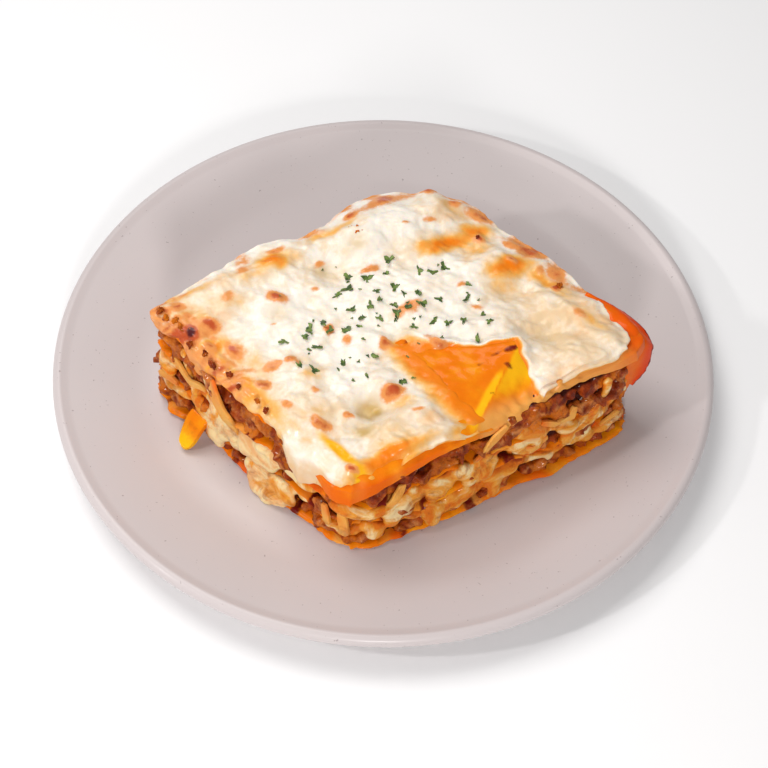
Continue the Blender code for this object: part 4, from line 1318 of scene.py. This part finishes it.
# Torn ends of pasta that stick out of the sides: turn, share and how far out in mm along each, width in mm
scraps = (
    (((0.130, 0.54, 0.4), (0.155, 0.66, 1.4), (0.175, 0.76, 0.6)), 3.4),
    (((0.415, 0.62, 0.4), (0.455, 0.80, 1.8), (0.520, 0.88, 0.8)), 2.6),
    (((0.640, 0.70, 0.6), (0.680, 0.60, 1.6), (0.740, 0.62, 1.0), (0.760, 0.74, 0.4)), 2.4),
    (((0.560, 0.46, 0.2), (0.600, 0.42, 1.4), (0.660, 0.44, 0.6)), 2.4),
    (((3.960, 0.20, 0.6), (3.975, 0.34, 1.8), (3.955, 0.52, 0.8)), 4.2),
    (((3.880, 0.24, 0.4), (3.900, 0.36, 1.6), (3.880, 0.50, 0.6)), 3.0),
    (((3.120, 0.56, 0.8), (3.170, 0.66, 2.4), (3.240, 0.60, 1.8), (3.300, 0.62, 0.6)), 3.2),
    (((3.330, 0.84, 1.0), (3.380, 0.78, 2.6), (3.440, 0.62, 2.4), (3.470, 0.48, 1.2)), 5.6),
    (((3.050, 0.30, 0.8), (3.090, 0.36, 2.2), (3.150, 0.34, 1.0)), 3.0),
    (((0.860, 0.30, 0.4), (0.900, 0.36, 1.6), (0.950, 0.34, 0.6)), 2.4),
)
scrapShape = {"perTurn": 95, "perShare": 42, "step": 0.02, "thickness": 1.1 * mm}   # mm per turn and share


def scrapPoint(points, width, across, down):
    turn, share, out = alongPath(points, down)
    perTurn, perShare = scrapShape["perTurn"], scrapShape["perShare"]
    nextTurn, nextShare, _ = alongPath(points, min(down + scrapShape["step"], 1.0))
    lastTurn, lastShare, _ = alongPath(points, max(down - scrapShape["step"], 0.0))
    way = Vector(((nextTurn - lastTurn) * perTurn, (nextShare - lastShare) * perShare)).normalized()
    narrow = width * (0.5 - 0.2 * abs(2 * down - 1) ** 3) * (1 + 0.2 * waver(down * 5, width))
    turn = (turn - across * narrow * way.y / perTurn) % 4
    share += across * narrow * way.x / perShare
    out += 0.4 + 0.5 * across * waver(down * 3, width, 2.0)
    return sidePlace(1.0, turn, share, out * mm)


def makeScraps():
    strips = []
    for points, width in scraps:
        def pointAt(across, down, points=points, width=width):
            return scrapPoint(points, width, across, down)
        strips.append(makeFlap("scrap", 5, 18, pointAt, scrapShape["thickness"]))
    joined = joinAll(strips, "pastaScraps")
    takeSpots(joined)   # not needed here
    marks = []
    for vert in joined.data.vertices:
        turn, _ = standOut(vert.co)
        tone = waver(turn * 12, vert.co.z / (5 * mm), 3.0)
        marks.append((0.2 + 0.5 * tone, 0.0, smoothStep(0.1, 0.6, -tone) * 0.4, 0.65 + 0.5 * tone))
    paint(joined, "marks", marks)
    return finish(joined, [], pastaFinish)


makeScraps()

# Parsley
parsley = {
    "seed": 7, "middle": (0.50, 0.57), "count": 46, "spread": (0.33, 0.31), "crowding": 0.62,
    "spacing": 0.038, "length": (2.5, 4.4), "lean": 0.25,
    # Small crumbs of leaf between the flakes
    "bits": 34, "bitSpread": (0.32, 0.31), "bitCrowding": 0.6, "bitLength": (0.9, 1.8), "bitLean": 0.2,
    "dark": (0.036, 0.078, 0.010, 1), "light": (0.17, 0.25, 0.045, 1),
}


def drawSpot(draw, spread, crowding):   # a place on the top, more of them towards the middle
    angle, reach = draw.uniform(0, math.tau), draw.random() ** crowding
    a, b = parsley["middle"]
    return a + spread[0] * reach * math.cos(angle), b + spread[1] * reach * math.sin(angle)


def drawLie(draw, length, lean):   # length, heading and lean of one flake
    return draw.uniform(*length) * mm, draw.uniform(0, math.tau), draw.uniform(-lean, lean)


def flakePlaces():
    draw = random.Random(parsley["seed"])
    gap = parsley["spacing"]
    found = []
    while len(found) < parsley["count"]:
        a, b = drawSpot(draw, parsley["spread"], parsley["crowding"])
        lie = drawLie(draw, parsley["length"], parsley["lean"])
        onFold = any(insideFold(a + x * gap, b + y * gap) > 0 for x in (-1, 0, 1) for y in (-1, 0, 1))
        apart = all(math.hypot(a - flake[0], b - flake[1]) > gap for flake in found)
        if apart and not onFold:
            found.append((a, b, *lie))
    return found


def parsleyMaterial():
    made, tree, shader = newMaterial("parsleyLeaf", Roughness=0.55, Coat_Weight=0.1)
    body = shades(tree, noiseNode(tree, 600.0, 3.0), parsley["dark"], (0.38, 0.66, parsley["light"]))
    setColour(tree, shader, body)
    setBump(tree, shader, noiseNode(tree, 1500.0, 2.0), 0.0002, 0.5)
    return made


def makeLeaf(draw):   # one scrap of leaf: a small toothed outline, slightly curled
    bpy.ops.mesh.primitive_circle_add(vertices=16, radius=0.5, fill_type="TRIFAN")
    leaf = bpy.context.active_object
    fold = draw.uniform(-0.7, 0.7)
    lobes = draw.choice((2, 3, 3))
    start = draw.uniform(0, math.tau)
    slim = draw.uniform(0.55, 0.85)
    for index, vert in enumerate(leaf.data.vertices):
        angle = math.atan2(vert.co.y, vert.co.x)
        reach = 0.72 + 0.34 * math.cos(lobes * angle + start) + (0.10 if index % 2 else -0.12)
        reach *= draw.uniform(0.8, 1.1)
        vert.co.x *= reach * 1.15
        vert.co.y *= reach * slim
        vert.co.z = fold * vert.co.x ** 2 + 0.25 * abs(vert.co.y) + draw.uniform(-0.04, 0.04)
    thicken = leaf.modifiers.new("leaf thickness", "SOLIDIFY")
    thicken.thickness = 0.09
    return applyAll(leaf)


def makeParsley():
    draw = random.Random(parsley["seed"] + 1)
    spots = flakePlaces()
    for number in range(parsley["bits"]):
        spot = drawSpot(draw, parsley["bitSpread"], parsley["bitCrowding"])
        spots.append((*spot, *drawLie(draw, parsley["bitLength"], parsley["bitLean"])))
    leaves = []
    for a, b, length, heading, lean in spots:
        leaf = makeLeaf(draw)
        x, y = plan(a, b)
        inside = insideFold(a, b)
        thickness = cheeseThickness(a, b, inside)
        height = sheetHeight(a, b, inside) + max(thickness, 0.0) * mm + meltedLumps(a, b, thickness)
        leaf.location = (x, y, height + blisterRise(a, b) + 0.25 * mm)
        leaf.rotation_euler = (draw.uniform(-0.3, 0.3), lean, heading)
        leaf.scale = (length, length, length)
        leaves.append(leaf)
    joined = joinAll(leaves, "parsleyFlakes")
    return finish(joined, [], parsleyMaterial(), smooth=False)


makeParsley()
